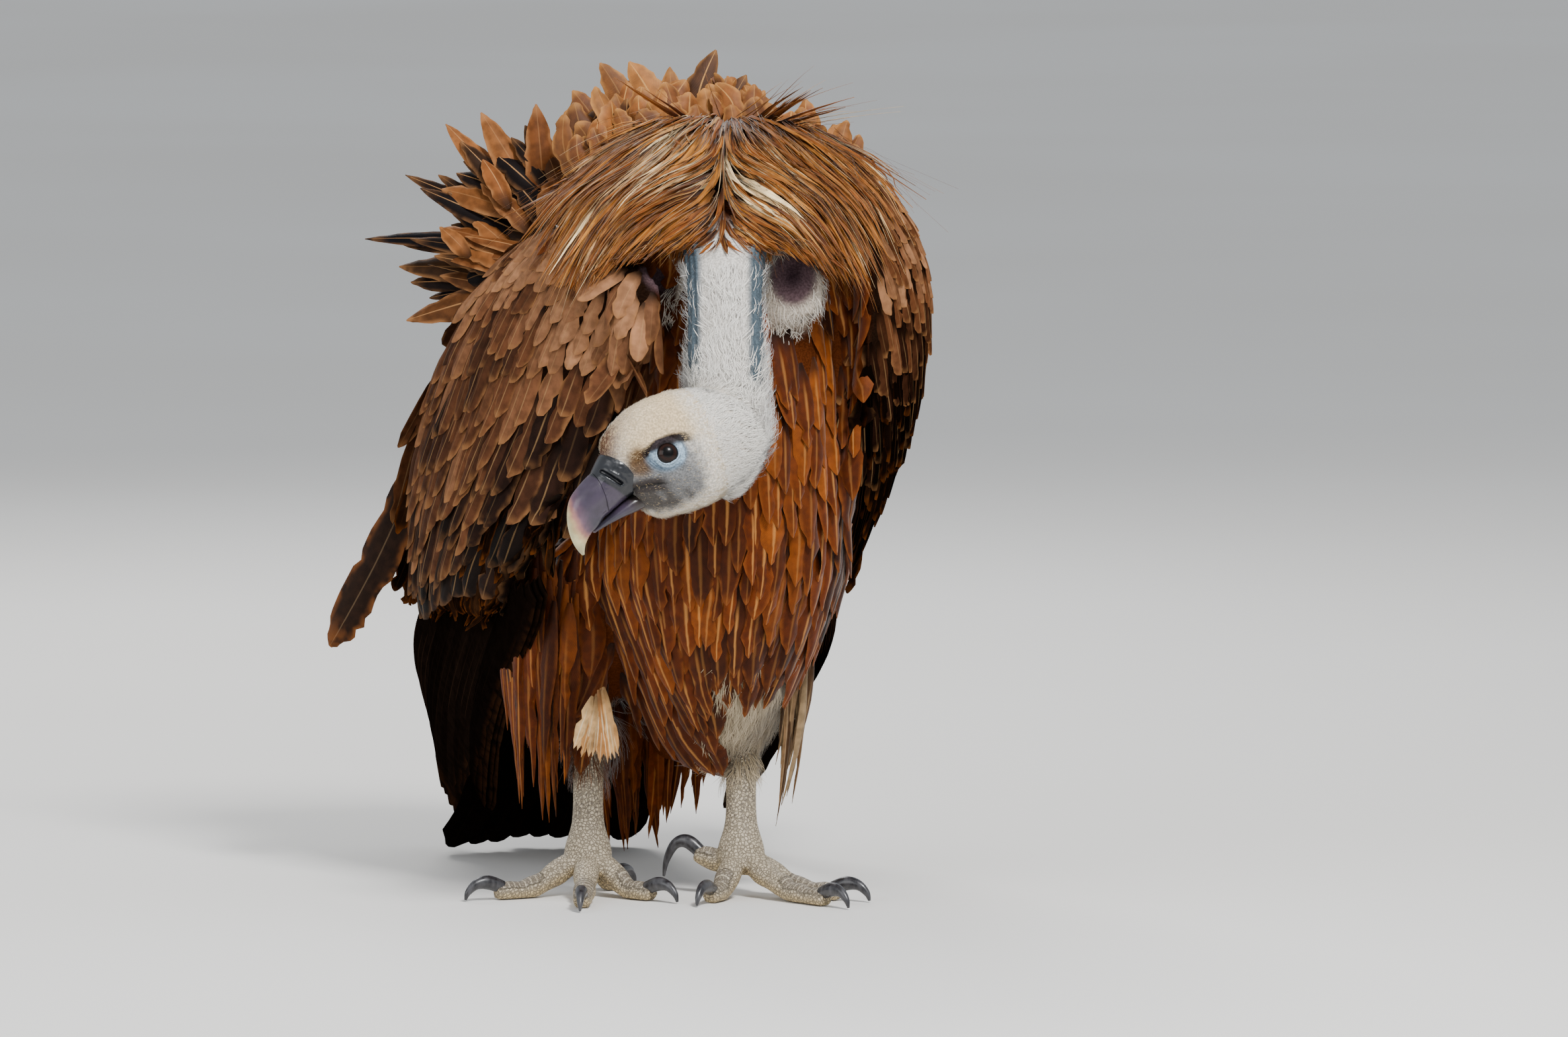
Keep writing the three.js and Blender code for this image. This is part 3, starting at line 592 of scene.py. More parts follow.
def build_stage():
    """A pale floor, and soft light from a high window and a fill."""
    size = 30.0
    corners = np.array([[-size, -size, 0], [size, -size, 0], [size, size, 0], [-size, size, 0]])
    floor = make_object("floor", corners - (0, 0, 0.0002), np.array([[0, 1, 2], [0, 2, 3]]))
    shader = Shader("pale_floor")
    tone = shader.band(shader.noise(0.6, 2), 0.3, 0.7)
    base = shader.mix(tone, colour("e9e6e1"), colour("edebe7"))
    floor.data.materials.append(shader.finish(base, 0.95))
    world = bpy.data.worlds.new("studio")
    bpy.context.scene.world = world
    world.use_nodes = True
    world.node_tree.nodes["Background"].inputs[0].default_value = colour("dfe4ea")
    world.node_tree.nodes["Background"].inputs[1].default_value = 0.75
    for name, place, size, power in (
        ("key", (1.0, -2.0, 2.7), 0.7, 125),
        ("fill", (-2.4, -2.2, 1.4), 2.0, 34),
        ("rim", (-0.6, 2.4, 2.2), 1.2, 50),
    ):
        data = bpy.data.lights.new(name, "AREA")
        data.size = size
        data.energy = power
        lamp = bpy.data.objects.new(name, data)
        lamp.location = place
        lamp.rotation_euler = (Vector((0, 0, 0.35)) - Vector(place)).to_track_quat("-Z", "Y").to_euler()
        bpy.context.scene.collection.objects.link(lamp)


build_camera()
build_stage()

# ---- Lofts -----------------------------------------------------------------------------------------

def oval(sides, power=2.0, start=0.0):
    angle = np.linspace(0, 2 * math.pi, sides, endpoint=False) + start
    flat = [np.sign(v) * np.abs(v) ** (2 / power) for v in (np.cos(angle), np.sin(angle))]
    return angle, flat[0], flat[1]


def limb(rows, sides=32, steps=60, across=(1, 0, 0), relief=None):
    """A closed round limb. Rows are x, y, z, half width, half depth in design millimetres."""
    t = np.linspace(0, 1, steps + 1)
    curve = along(rows, t)
    centre, wide, deep = curve[:, :3], curve[:, 3], curve[:, 4]
    run = unit(np.gradient(centre, axis=0))
    side = np.array(across, float) - run * (run @ np.array(across, float))[:, None]
    side = unit(side)
    front = np.cross(run, side)
    angle, u, v = oval(sides)
    swell = relief(t[:, None], angle[None]) if relief else np.zeros((steps + 1, sides))
    points = (centre[:, None] + side[:, None] * (u[None] * (wide[:, None] + swell))[..., None]
              + front[:, None] * (v[None] * (deep[:, None] + swell))[..., None])
    points = points.reshape(-1, 3)
    return points, facing_out(points, tube_triangles(steps + 1, sides))


def piece(name, points, triangles, material, replaces):
    """A finished hard piece from design points."""
    made = make_object(name, placed(points), triangles)
    made.data.materials.append(material)
    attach(made, BODY)
    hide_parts(*replaces)
    return made


# ---- Skin ------------------------------------------------------------------------------------------

HEAD_ROWS = [  # forward, top, bottom, half width, lean of the section's top
    [-63, 6, -16, 13, 0], [-51, 26, -24, 25, 0], [-34.6, 40, -33, 33, 0], [-12, 50, -40, 36, 0],
    [5.8, 52.5, -41, 35.5, 0], [23, 52, -39, 31, 1], [38.4, 46.5, -36, 25, 4], [49, 37, -30, 18.5, 8],
    [52.8, 28, -25, 13.5, 8],
]
NECK_ROWS = [
    [46, -88, 506, 34, 34], [46, -118, 489, 30, 30], [46, -142, 462, 27, 28], [47, -153, 425, 28, 29],
    [48, -160, 390, 31, 31], [50, -167, 358, 31, 31], [46, -175, 334, 23, 25], [40, -180, 324, 14, 16],
]
GAZE = unit(np.array([0.13, 0.92, 0.36]))  # where the left eye looks, in the head's frame
EYE_OPENING = math.radians(43)
LID = 1.1  # how thick the lids are
FLESH = ["trunk", "neck", "head", "crop", "thigh_right", "thigh_left", "wing_right_coverts",
         "wrist_right", "wing_left_coverts"]
COAT_DEPTH = {"trunk": 8.0, "thigh_right": 8.0, "thigh_left": 7.0, "crop": 0.0,
              "wing_right_coverts": 5.0, "wing_left_coverts": 5.0, "wrist_right": 5.0}


def sculpt_head(local):
    """Lids, brow, lores, mouth line and wrinkles on points in the head's frame."""
    out = local.copy()
    forward, left, up = local[:, 0], local[:, 1], local[:, 2]
    sign = np.where(left >= 0, 1.0, -1.0)
    flank = step(4, 14, np.abs(left))
    radial = unit(np.stack([np.zeros_like(left), left, up - 6.5], axis=1))
    rough = wobble(local, 6.0, 3)

    def push(amount):
        out[:] += radial * np.reshape(amount, (-1, 1))

    def bell(value, width):
        return np.exp(-np.square(value / width))

    down = step(-14, 6, -forward) + step(2, 26, up) + step(-24, -38, up)
    push(-1.6 * np.clip(down, 0.25, 1))
    brow_line = 23.5 - 0.012 * np.square(forward - 19)
    push(2.6 * flank * bell(up - brow_line, 3.2) * step(-2, 8, forward) * step(43, 33, forward))
    push(-2.4 * flank * bell(np.hypot(forward - 43, up - 9), 8.5))
    around = np.hypot(forward - 22.5, (up - 15) * 1.05)
    below = step(20, 12, up) * step(9, 12, around) * step(27, 15, around)
    push(0.45 * flank * below * np.sin(around * 3.3 + rough * 1.6))
    creases = step(30, 14, around) * step(14, 2, up) * step(13, 18, around)
    push(0.3 * flank * creases * np.sin(up * 3.0 - forward * 0.9 + rough * 3))
    gape = -4.6 - 0.011 * np.square(forward - 46)
    mouth = flank * step(26, 33, forward)
    push(-1.5 * mouth * bell(up - gape, 0.9))
    push(1.2 * mouth * bell(up - gape + 3.4, 2.6))
    push(0.8 * mouth * bell(up - gape - 3.0, 2.0))
    push(-1.2 * flank * bell(np.hypot(forward + 13, up + 6), 7.0))
    push(0.25 * rough * step(-20, 0, forward))
    centre = np.stack([np.full_like(left, EYE_AT[0]), sign * EYE_AT[1], np.full_like(left, EYE_AT[2])], 1)
    away = out - centre
    distance = np.linalg.norm(away, axis=1)
    gaze = np.stack([np.full_like(left, GAZE[0]), sign * GAZE[1], np.full_like(left, GAZE[2])], 1)
    turn = np.arccos(np.clip(np.sum(away * gaze, axis=1) / np.maximum(distance, 1e-6), -1, 1))
    rim = EYE_OPENING * (1 + 0.06 * np.cos(2 * np.arctan2(away[:, 2], away[:, 0])))
    shell = EYE_RADIUS - 1.6 + (LID + 2.3) * step(-0.02, 0.07, turn - rim)
    shell += 0.35 * np.sin((turn - rim) * 34) * step(0.05, 0.12, turn - rim) * step(0.5, 0.2, turn - rim)
    hold = step(1.2, 0.62, turn)
    eased = centre + away * (shell / np.maximum(distance, 1e-6))[:, None]
    out += (eased - out) * hold[:, None]
    away = out - centre
    clear = (EYE_RADIUS + 0.5) / np.maximum(np.linalg.norm(away, axis=1), 1e-6)
    outside = (turn - rim > 0.06) & (turn < 1.7) & (clear > 1) & (clear < 1.6)
    out += away * (np.where(outside, clear, 1) - 1)[:, None]
    return out


def build_head_skin():
    rings, sides = 168, 180
    t = np.linspace(0, 1, 2000)
    forward = along(HEAD_ROWS, t)[:, 0]
    crowd = np.cumsum(0.7 + 1.8 * np.exp(-np.square((forward - 24) / 15)))
    t = np.interp(np.linspace(crowd[0], crowd[-1], rings), crowd, t)
    curve = along(HEAD_ROWS, t)
    angle = np.linspace(0, 2 * math.pi, sides, endpoint=False)
    angle = angle - 0.33 * np.sin(2 * angle) + 0.1
    u, v = (np.sign(w) * np.abs(w) ** (2 / 2.1) for w in (np.cos(angle), np.sin(angle)))
    lean = curve[:, 4:5] * v
    local = np.stack([
        curve[:, 0:1] + lean,
        curve[:, 3:4] * u,
        curve[:, 2:3] + (curve[:, 1:2] - curve[:, 2:3]) * (v + 1) / 2,
    ], axis=-1).reshape(-1, 3)
    local = sculpt_head(local)
    points = in_head(local)
    return make_object("head_skin", placed(points), facing_out(points, tube_triangles(rings, sides)))


def build_neck_skin():
    """The neck inside its down, with the bare folds that run down each side at the top."""
    def relief(t, angle):
        bare = step(0.62, 0.42, t) * step(0.62, 0.8, np.abs(np.cos(angle)))
        folds = np.cos(angle * 26) * 0.9 + 0.6 * np.sin(angle * 11 + t * 5)
        return -3.2 * (1 - bare) + bare * folds - 0.5
    points, triangles = limb(NECK_ROWS, sides=110, steps=84, relief=relief)
    return make_object("neck_skin", placed(points), triangles)


def toe_rows(x, y, angle, length, raised):
    turn = math.radians(angle)
    joints = round(length / 28)
    rows = []
    for k in range(joints * 2 + 1):
        t = k / (joints * 2)
        pad = 1.06 if k % 2 else 0.93
        half = (TOE_HALF * 1.15 + (TOE_HALF * 0.78 - TOE_HALF * 1.15) * t) * pad
        reach = 17 + (length - 17) * t
        low = min(1, t * 1.9) ** 0.8
        height = (FOOT_JOINT_HEIGHT - 10) * (1 - low) + (half - 1.2) * low
        if raised:
            height = FOOT_JOINT_HEIGHT - 8 + (raised - FOOT_JOINT_HEIGHT + 8) * t
        rows.append([x + math.sin(turn) * reach, y - math.cos(turn) * reach, height, half, half * 0.96])
    start = [x + math.sin(turn) * 4, y - math.cos(turn) * 4, FOOT_JOINT_HEIGHT - 7, TOE_HALF, TOE_HALF]
    return [start] + rows


def build_foot(side):
    x, y = STANCE[side]
    top, half = FOOT_JOINT_HEIGHT + TARSUS_LENGTH, TARSUS_HALF
    parts = [limb([
        [x * 0.98, y + 36, top + 26, half * 0.8, half * 0.8],
        [x * 0.98, y + 30, top, half * 0.9, half],
        [x, y + 24, top - 22, half * 1.05, half * 1.1],
        [x, y + 14, top - 55, half * 0.92, half],
        [x, y + 6, FOOT_JOINT_HEIGHT + 22, half * 0.98, half * 0.98],
        [x, y, FOOT_JOINT_HEIGHT + 3, half * 1.4, half * 1.2],
        [x, y - 1, FOOT_JOINT_HEIGHT - 9, half * 1.42, half * 1.3],
        [x, y - 2, FOOT_JOINT_HEIGHT - 18, half * 1.1, half],
    ], sides=40, steps=70)]
    for toe, (angle, length) in TOES[side].items():
        raised = RAISED_HIND_TOE if (side, toe) == ("left", "hind") else 0
        turn = math.radians(angle)
        across = (math.cos(turn), math.sin(turn), 0)
        parts.append(limb(toe_rows(x, y, angle, length, raised), sides=28, steps=50, across=across))
    start, points, triangles = 0, [], []
    for part_points, part_triangles in parts:
        points.append(part_points)
        triangles.append(part_triangles + start)
        start += len(part_points)
    points = np.concatenate(points)
    points[:, 2] = np.maximum(points[:, 2], 0.4)
    made = make_object("foot_skin", placed(points), np.concatenate(triangles))
    return remeshed(made, 1.5, smooth=2)


def nearest_nodes(points, nodes):
    """For each point in metres, which of the CAD nodes is nearest."""
    reach = []
    for node in nodes:
        source = joined_nodes("probe", [node])
        tree = BVHTree.FromPolygons(mesh_points(source).tolist(),
                                    [tuple(p.vertices) for p in source.data.polygons])
        bpy.data.objects.remove(source)
        reach.append([tree.find_nearest(Vector(p))[3] for p in points])
    return np.argmin(reach, axis=0)


def build_body_skin():
    """The trunk, thighs, crop and folded wings as one form, let in by the depth of the coat."""
    nodes = [n for n in FLESH if n not in ("neck", "head")]
    body = remeshed(joined_nodes("body_skin", nodes), 3.4, smooth=8)
    points, normals = mesh_points(body), mesh_normals(body)
    depth = np.array([COAT_DEPTH[n] for n in nodes])[nearest_nodes(points, nodes)]
    for seed, (hollow, width, deep) in enumerate(CROP_HOLLOWS):
        at = design(points)
        near = np.exp(-np.square(np.linalg.norm((at - hollow) / (1, 1.6, 1.2), axis=1) / width))
        depth = depth + deep * near * step(0.2, -0.3, normals[:, 1]) * (1 + 0.3 * wobble(at, 9, seed))
    set_points(body, points - normals * depth[:, None] * MM)
    return remeshed(body, 4.6, smooth=3)


CROP_HOLLOWS = [  # centre, radius and depth of the bare hollows either side of the neck
    (np.array([97.0, -96.0, 474.0]), 20.0, 13.0),
    (np.array([-2.0, -104.0, 478.0]), 17.0, 9.0),
]


def united(name, objects):
    """One closed skin of several that overlap."""
    base, *rest = objects
    for other in rest:
        union = base.modifiers.new("join", "BOOLEAN")
        union.operation = "UNION"
        union.solver = "MANIFOLD"
        union.object = other
    apply_modifiers(base)
    for other in rest:
        bpy.data.objects.remove(other)
    base.name = base.data.name = name
    return base


def paint_skin(skin):
    """The skin's colours by its parts, as smooth masks over the bird's own shape, with painted shade deep in the crop
    hollows and in a fold below each lower lid.
    """
    at = design(mesh_points(skin))
    local = head_frame(at)
    normals = mesh_normals(skin)
    paint = np.tile(colour("4a2410")[:3], (len(at), 1))
    scaly = np.zeros(len(at))

    def coat(code, share):
        share = np.clip(share, 0, 1)[:, None]
        paint[:] = paint * (1 - share) + np.array(colour(code)[:3]) * share

    for side in WING_FRONT:
        coat("1a0f09", step(-8, 4, past_front(at, side)) * step(90, 130, at[:, 2]) * (at[:, 1] > HEAD_FRONT_Y))
    coat("a4937a", step(24, 40, at[:, 0]) * step(196, 172, at[:, 2]))
    for hollow, width, _ in CROP_HOLLOWS:
        reach = np.linalg.norm((at - hollow) / (1, 1.6, 1.2), axis=1)
        coat("d3c6b4", step(width * 2.0, width * 1.3, reach) * (at[:, 0] > 10))
        coat("5a474b", step(width * 1.2, width * 0.75, reach))
        # Painted shade: the bare skin is darkest at the middle of each hollow, where shade falls in the recess.
        coat("2c2026", step(width * 0.6, width * 0.2, reach))
    line = along(NECK_ROWS, np.linspace(0, 1, 40))[:, :3]
    to_neck = np.sqrt(np.square(at[:, None] - line[None]).sum(-1).min(axis=1)) if len(at) < 3e5 else None
    neck = step(40, 33, to_neck) * step(524, 500, at[:, 2])
    coat("cfc9c0", neck)
    fold = neck * step(370, 410, at[:, 2]) * step(14, 21, np.abs(at[:, 0] - 46.5))
    coat("48565f", fold)
    forward, left, up = local.T
    is_head = step(40, 30, np.linalg.norm((local - (0, 0, 5)) / (1.5, 1, 1.25), axis=1) - 6)
    coat("ddd4c6", is_head)
    face = is_head * step(-14, 4, forward)
    crown = face * step(14, 22, up) * step(60, 40, forward)
    fade = 7 * wobble(local, 10, 5)
    bare = face * step(-10, 16, forward + fade) * step(22, 16, up + 0.25 * (forward - 22))
    bare *= step(-34, -20, up + 0.6 * fade)
    coat("d8c09a", crown)
    coat("6a6b6c", bare)
    coat("3f3934", bare * step(4, -14, up + 0.4 * fade) * step(-6, 26, forward + fade))
    coat("88898a", bare * step(30, 16, np.hypot(forward - 12, up + 2) + fade) * 0.45)
    coat("5b442d", face * step(13, 5, np.hypot(forward - 42, (up - 14) * 0.8)))
    gape = -4.6 - 0.011 * np.square(forward - 46)
    lips = face * step(24, 34, forward)
    coat("2b2320", lips * step(7.5, 3.5, np.abs(up - gape)))
    coat("0e0a09", lips * step(1.4, 0.5, np.abs(up - gape)))
    around = np.hypot(forward - 22.5, (up - 14) * 1.1)
    coat("66798a", face * step(17.5, 12, around) * step(24, 16, up))
    coat("231d1c", face * step(4.8, 2.0, np.abs(up - 23.2 + 0.014 * np.square(forward - 19)))
         * step(-1, 6, forward) * step(42, 36, forward))
    sign = np.where(left >= 0, 1.0, -1.0)
    away = local - np.stack([np.full_like(sign, EYE_AT[0]), sign * EYE_AT[1], np.full_like(sign, EYE_AT[2])], 1)
    gaze = np.stack([np.full_like(sign, GAZE[0]), sign * GAZE[1], np.full_like(sign, GAZE[2])], 1)
    turn = np.arccos(np.clip(np.sum(unit(away) * gaze, axis=1), -1, 1))
    lids = is_head * step(0.5, 0.3, turn - EYE_OPENING) * (np.linalg.norm(away, axis=1) < 15)
    coat("9fb8cc", lids * step(23, 17, up))
    # Painted shade: a thin dark line in the fold below each lower lid.
    lid_crease_shade = is_head * step(0.10, 0.13, turn - EYE_OPENING) * step(0.19, 0.15, turn - EYE_OPENING)
    coat("3c444c", 0.75 * lid_crease_shade * step(14, 9, up) * (np.linalg.norm(away, axis=1) < 14))
    coat("342e30", lids * step(15, 21, up))
    rim = is_head * step(0.03, -0.02, turn - EYE_OPENING) * step(8, 16, up)
    coat("1d1a1b", rim * (np.linalg.norm(away, axis=1) < 12.6))
    foot = np.zeros(len(at))
    scute = np.zeros(len(at))
    shield = np.zeros(len(at))
    for side, (x, y) in STANCE.items():
        shank_y = y + np.interp(at[:, 2], [0, 36, 80, 137], [0, 0, 14, 30])
        shank = step(22, 17, np.hypot(at[:, 0] - x, at[:, 1] - shank_y)) * step(150, 132, at[:, 2])
        foot = np.maximum(foot, shank)
        shield = np.maximum(shield, shank * step(0.1, 0.6, -normals[:, 1]) * step(42, 60, at[:, 2]))
        for angle, length in TOES[side].values():
            turn = math.radians(angle)
            reach = (at[:, 0] - x) * math.sin(turn) - (at[:, 1] - y) * math.cos(turn)
            off = np.abs((at[:, 0] - x) * math.cos(turn) + (at[:, 1] - y) * math.sin(turn))
            on_toe = (reach > 5) * (reach < length + 14) * step(16, 12, off) * step(48, 42, at[:, 2])
            foot = np.maximum(foot, on_toe)
            top = on_toe * step(0.25, 0.6, normals[:, 2]) * step(0.45, 0.6, reach / length)
            scute = np.where(top > 0.5, reach, scute)
    coat("b9ab93", foot)
    coat("c4ae84", foot * step(0.3, -0.4, normals[:, 2]))
    coat("857b6e", foot * (scute > 0) * 0.85)
    scaly = foot
    add_attribute(skin, "hue", "FLOAT_COLOR", np.concatenate([paint, np.ones((len(at), 1))], axis=1))
    add_attribute(skin, "scaly", "FLOAT", scaly)
    add_attribute(skin, "scute", "FLOAT", scute)
    add_attribute(skin, "shield", "FLOAT", shield)
    add_attribute(skin, "bare", "FLOAT", np.maximum(bare, fold))


def skin_material():
    """Bare skin, with net-like scales and scutes on the feet and fine creases on the face."""
    shader = Shader("vulture_skin")
    hue = shader.attribute("hue", "Color")
    scaly = shader.attribute("scaly")
    bare = shader.attribute("bare")
    speckle = shader.band(shader.noise(700, 4), 0.35, 0.68, 0.72, 1.25)
    share = shader.node("ShaderNodeCombineColor", {0: speckle, 1: speckle, 2: speckle})
    base = shader.mix(1.0, hue, share, "MULTIPLY")
    cells = shader.node("ShaderNodeTexVoronoi", {"Vector": shader.place(), "Scale": 380.0},
                        feature="DISTANCE_TO_EDGE")
    scale_edge = shader.band(cells, 0.02, 0.16)
    seams = shader.mix(shader.math("SUBTRACT", 1.0, scale_edge), base, colour("6b604f"))
    base = shader.mix(shader.math("MULTIPLY", scaly, 0.8), base, seams)
    large = shader.node("ShaderNodeTexVoronoi", {"Vector": shader.place(), "Scale": 300.0},
                        feature="DISTANCE_TO_EDGE")
    centre = shader.math("MULTIPLY", shader.band(large, 0.1, 0.3), shader.attribute("shield"))
    base = shader.mix(shader.math("MULTIPLY", centre, 0.75), base, colour("6a6055"))
    plates = shader.math("FRACT", shader.math("DIVIDE", shader.attribute("scute"), 4.6))
    plate = shader.band(plates, 0.0, 0.85)
    groove = shader.math("MULTIPLY", shader.band(plates, 0.3, 0.05), shader.math("GREATER_THAN", shader.attribute("scute"), 1.0))
    base = shader.mix(shader.math("MULTIPLY", groove, 0.7), base, colour("d2c5ab"))
    creases = shader.noise(420, 4, stretch=(1, 1, 2.2))
    height = shader.math("ADD", shader.math("MULTIPLY", scale_edge, shader.math("MULTIPLY", scaly, 1.0)),
                         shader.math("MULTIPLY", creases, shader.math("MULTIPLY_ADD", bare, 1.0, 0.35)))
    height = shader.math("ADD", height, shader.math("MULTIPLY", plate, 1.2))
    normal = shader.bump(height, 0.8, 0.0007)
    wet = shader.math("MULTIPLY", shader.math("MAXIMUM", scaly, bare), 0.4)
    return shader.finish(base, 0.55, normal, Specular_IOR_Level=wet)


def build_skin():
    body = build_body_skin()
    parts = [body, build_neck_skin(), build_head_skin(), build_foot("right"), build_foot("left")]
    skin = united("skin", parts)
    paint_skin(skin)
    skin.data.polygons.foreach_set("use_smooth", np.ones(len(skin.data.polygons), bool))
    skin.data.materials.clear()
    skin.data.materials.append(skin_material())
    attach(skin, BODY)
    toes = [f"toe_{toe}_{side}" for side in TOES for toe in TOES[side]]
    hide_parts(*FLESH, "tarsus_right", "tarsus_left", *toes)
    return skin


# ---- Eyes, bill and claws ---------------------------------------------------------------------------

def eye_material():
    shader = Shader("eye")
    turn = shader.attribute("turn")
    tone = shader.ramp(turn, [(0.0, "020101"), (0.34, "030202"), (0.37, "120602"), (0.52, "260f06"),
                              (0.66, "150803"), (0.70, "070403"), (0.76, "14100f")])
    streaks = shader.band(shader.noise(900, 3), 0.3, 0.7, 0.7, 1.3)
    share = shader.node("ShaderNodeCombineColor", {0: streaks, 1: streaks, 2: streaks})
    base = shader.mix(1.0, tone, share, "MULTIPLY")
    return shader.finish(base, 0.35, Coat_Weight=0.3, Coat_Roughness=0.03, Specular_IOR_Level=0.1)


def build_eyes():
    material = eye_material()
    for side, sign in (("left", 1), ("right", -1)):
        gaze = GAZE * (1, sign, 1)
        across = unit(np.cross(gaze, (0, 0, 1)))
        over = np.cross(across, gaze)
        rings, sides = 90, 64
        turn = np.linspace(0.004, math.pi - 0.004, rings)
        angle = np.linspace(0, 2 * math.pi, sides, endpoint=False)
        radius = EYE_RADIUS * (1 + 0.035 * step(0.75, 0.2, turn)) - 0.05
        local = (np.array(EYE_AT) * (1, sign, 1)
                 + radius[:, None, None] * (np.cos(turn)[:, None, None] * gaze
                                            + np.sin(turn)[:, None, None]
                                            * (np.cos(angle)[None, :, None] * across
                                               + np.sin(angle)[None, :, None] * over)))
        points = in_head(local.reshape(-1, 3))
        triangles = facing_out(points, tube_triangles(rings, sides))
        made = piece(f"eyeball_{side}", points, triangles, material, [f"eye_{side}"])
        add_attribute(made, "turn", "FLOAT", np.repeat(turn, sides))


def head_loft(rows, sides, steps, power, relief=None):
    """A body through sections of the head. Rows are forward, top, bottom, half width and lean."""
    t = np.linspace(0, 1, steps + 1)
    curve = along(rows, t)
    angle, u, v = oval(sides, power)
    local = np.stack([
        curve[:, 0:1] + curve[:, 4:5] * v,
        curve[:, 3:4] * u,
        curve[:, 2:3] + (curve[:, 1:2] - curve[:, 2:3]) * (v + 1) / 2,
    ], axis=-1).reshape(-1, 3)
    if relief:
        local = relief(local)
    points = in_head(local)
    return local, points, facing_out(points, tube_triangles(steps + 1, sides))


NOSTRIL = (np.array([67.9, 15.9]), np.array([58.8, 3.4]))  # its ends, forward and up
CERE_EDGE = (77.2, 17.6, 61.6, -2.5)  # the line where horn begins: forward, up at its top and foot


def build_cere():
    def relief(local):
        out = local.copy()
        flat = local[:, [0, 2]]
        a, b = NOSTRIL
        t = np.clip(((flat - a) @ (b - a)) / ((b - a) @ (b - a)), 0, 1)
        off = np.linalg.norm(flat - (a + (b - a) * t[:, None]), axis=1)
        side = np.sign(local[:, 1]) * step(6, 11, np.abs(local[:, 1]))
        out[:, 1] -= side * 4.2 * step(1.7, 0.7, off)
        out[:, 1] += side * 0.7 * np.exp(-np.square((off - 3.0) / 1.5))
        out[:, 1] += side * 0.25 * wobble(local, 5.0, 2)
        return out
    local, points, triangles = head_loft([
        [45, 26, -8, 17.5, 7], [52, 26, -9.5, 17.5, 8], [60, 23.5, -12, 16, 4],
        [68, 19, -15.5, 14.5, 1], [72.6, 15.5, -17.5, 13.6, 0],
    ], 220, 150, 2.2, relief)
    made = piece("bill_cere", points, triangles, bill_material("cere_skin"), ["cere"])
    paint_bill(made, local)


def build_upper_bill():
    rows = [
        [73.0, -1.2, 16.5, 13.6], [81, -4.8, 16, 12.5], [48 + CULMEN * 0.79, -10.5, 14.5, 10.5],
        [48 + CULMEN * 0.9, -18.5, 10.5, 8], [48 + CULMEN * 0.955, -27, 6.2, 5.2],
        [48 + CULMEN * 0.965, -33.5, 3.2, 2.8], [48 + CULMEN * 0.955, -38.6, 0.9, 0.8],
    ]
    steps, sides = 110, 120
    t = np.linspace(0, 1, steps + 1)
    curve = along(rows, t)
    slope = np.radians(82 * t ** 1.4)[:, None]
    angle, u, v = oval(sides, 2.15)
    keel = 1 + 0.05 * np.exp(-np.square((angle - math.pi / 2) / 0.22))
    pinch = 1 - 0.10 * np.exp(-np.square((np.abs(np.sin(angle)) - 0.45) / 0.25)) * (np.sin(angle) < 0)
    deep, half = curve[:, 2:3], curve[:, 3:4]
    lip = 0.7 * np.sin(t * 16)[:, None] * (np.sin(angle) < -0.6) * step(0.5, 0.2, t)[:, None]
    local = np.stack([
        curve[:, 0:1] + v * keel * deep * np.sin(slope),
        u * pinch * half,
        curve[:, 1:2] + v * keel * deep * np.cos(slope) + lip,
    ], axis=-1).reshape(-1, 3)
    points = in_head(local)
    triangles = facing_out(points, tube_triangles(steps + 1, sides))
    made = piece("bill_upper", points, triangles, bill_material("bill_horn_upper"), ["upper_bill"])
    paint_bill(made, local)


def build_lower_bill():
    local, points, triangles = head_loft([
        [40, -11, -23, 10.5, 0], [52, -10.5, -23.5, 11.6, 0], [64, -14.5, -23.5, 10.5, 0],
        [76, -19.5, -24.5, 7.5, 0], [86, -23.5, -26.5, 3.5, 0],
    ], 90, 80, 2.4)
    made = piece("bill_lower", points, triangles, bill_material("bill_horn_lower"), ["lower_bill"])
    paint_bill(made, local)


def paint_bill(made, local):
    """Slate at the root, violet grey, a pink band of painted highlight, then a cream ridge and tip."""
    forward, left, up = local.T
    paint = np.tile(colour("16181d")[:3], (len(local), 1))

    def coat(code, share):
        share = np.clip(share, 0, 1)[:, None]
        paint[:] = paint * (1 - share) + np.array(colour(code)[:3]) * share

    top_forward, top_up, foot_forward, foot_up = CERE_EDGE
    border = foot_forward + (up - foot_up) * (top_forward - foot_forward) / (top_up - foot_up)
    horn = step(-1.0, 1.0, forward - border)
    soft = wobble(local, 9.0, 8) * 1.6
    coat("39303f", horn)
    coat("2a211d", step(62, 48, forward) * step(-8, -12, up))
    ahead = forward + 0.33 * np.maximum(0, -up) + 0.15 * up + soft
    ridge = forward * 0.78 - up * 0.2 + 0.5 * np.abs(left) * -1.4 + soft
    coat("6b4f5f", horn * step(62, 73, ridge) * 0.9)
    # Painted highlight: the pink band across the horn stands in for light caught on the bill.
    coat("a06d63", horn * step(69.5, 75, ridge))
    coat("c1a276", horn * step(74, 78.5, ridge))
    coat("d2c793", horn * step(77.5, 82, ridge) * step(10, -6, up))
    coat("6e6653", horn * step(-27, -36, up) * 0.5)
    coat("33303a", horn * step(96, 90, forward) * step(-12, -20, up - 0.2 * (forward - 80)) * step(100, 84, ahead))
    add_attribute(made, "hue", "FLOAT_COLOR", np.concatenate([paint, np.ones((len(local), 1))], axis=1))


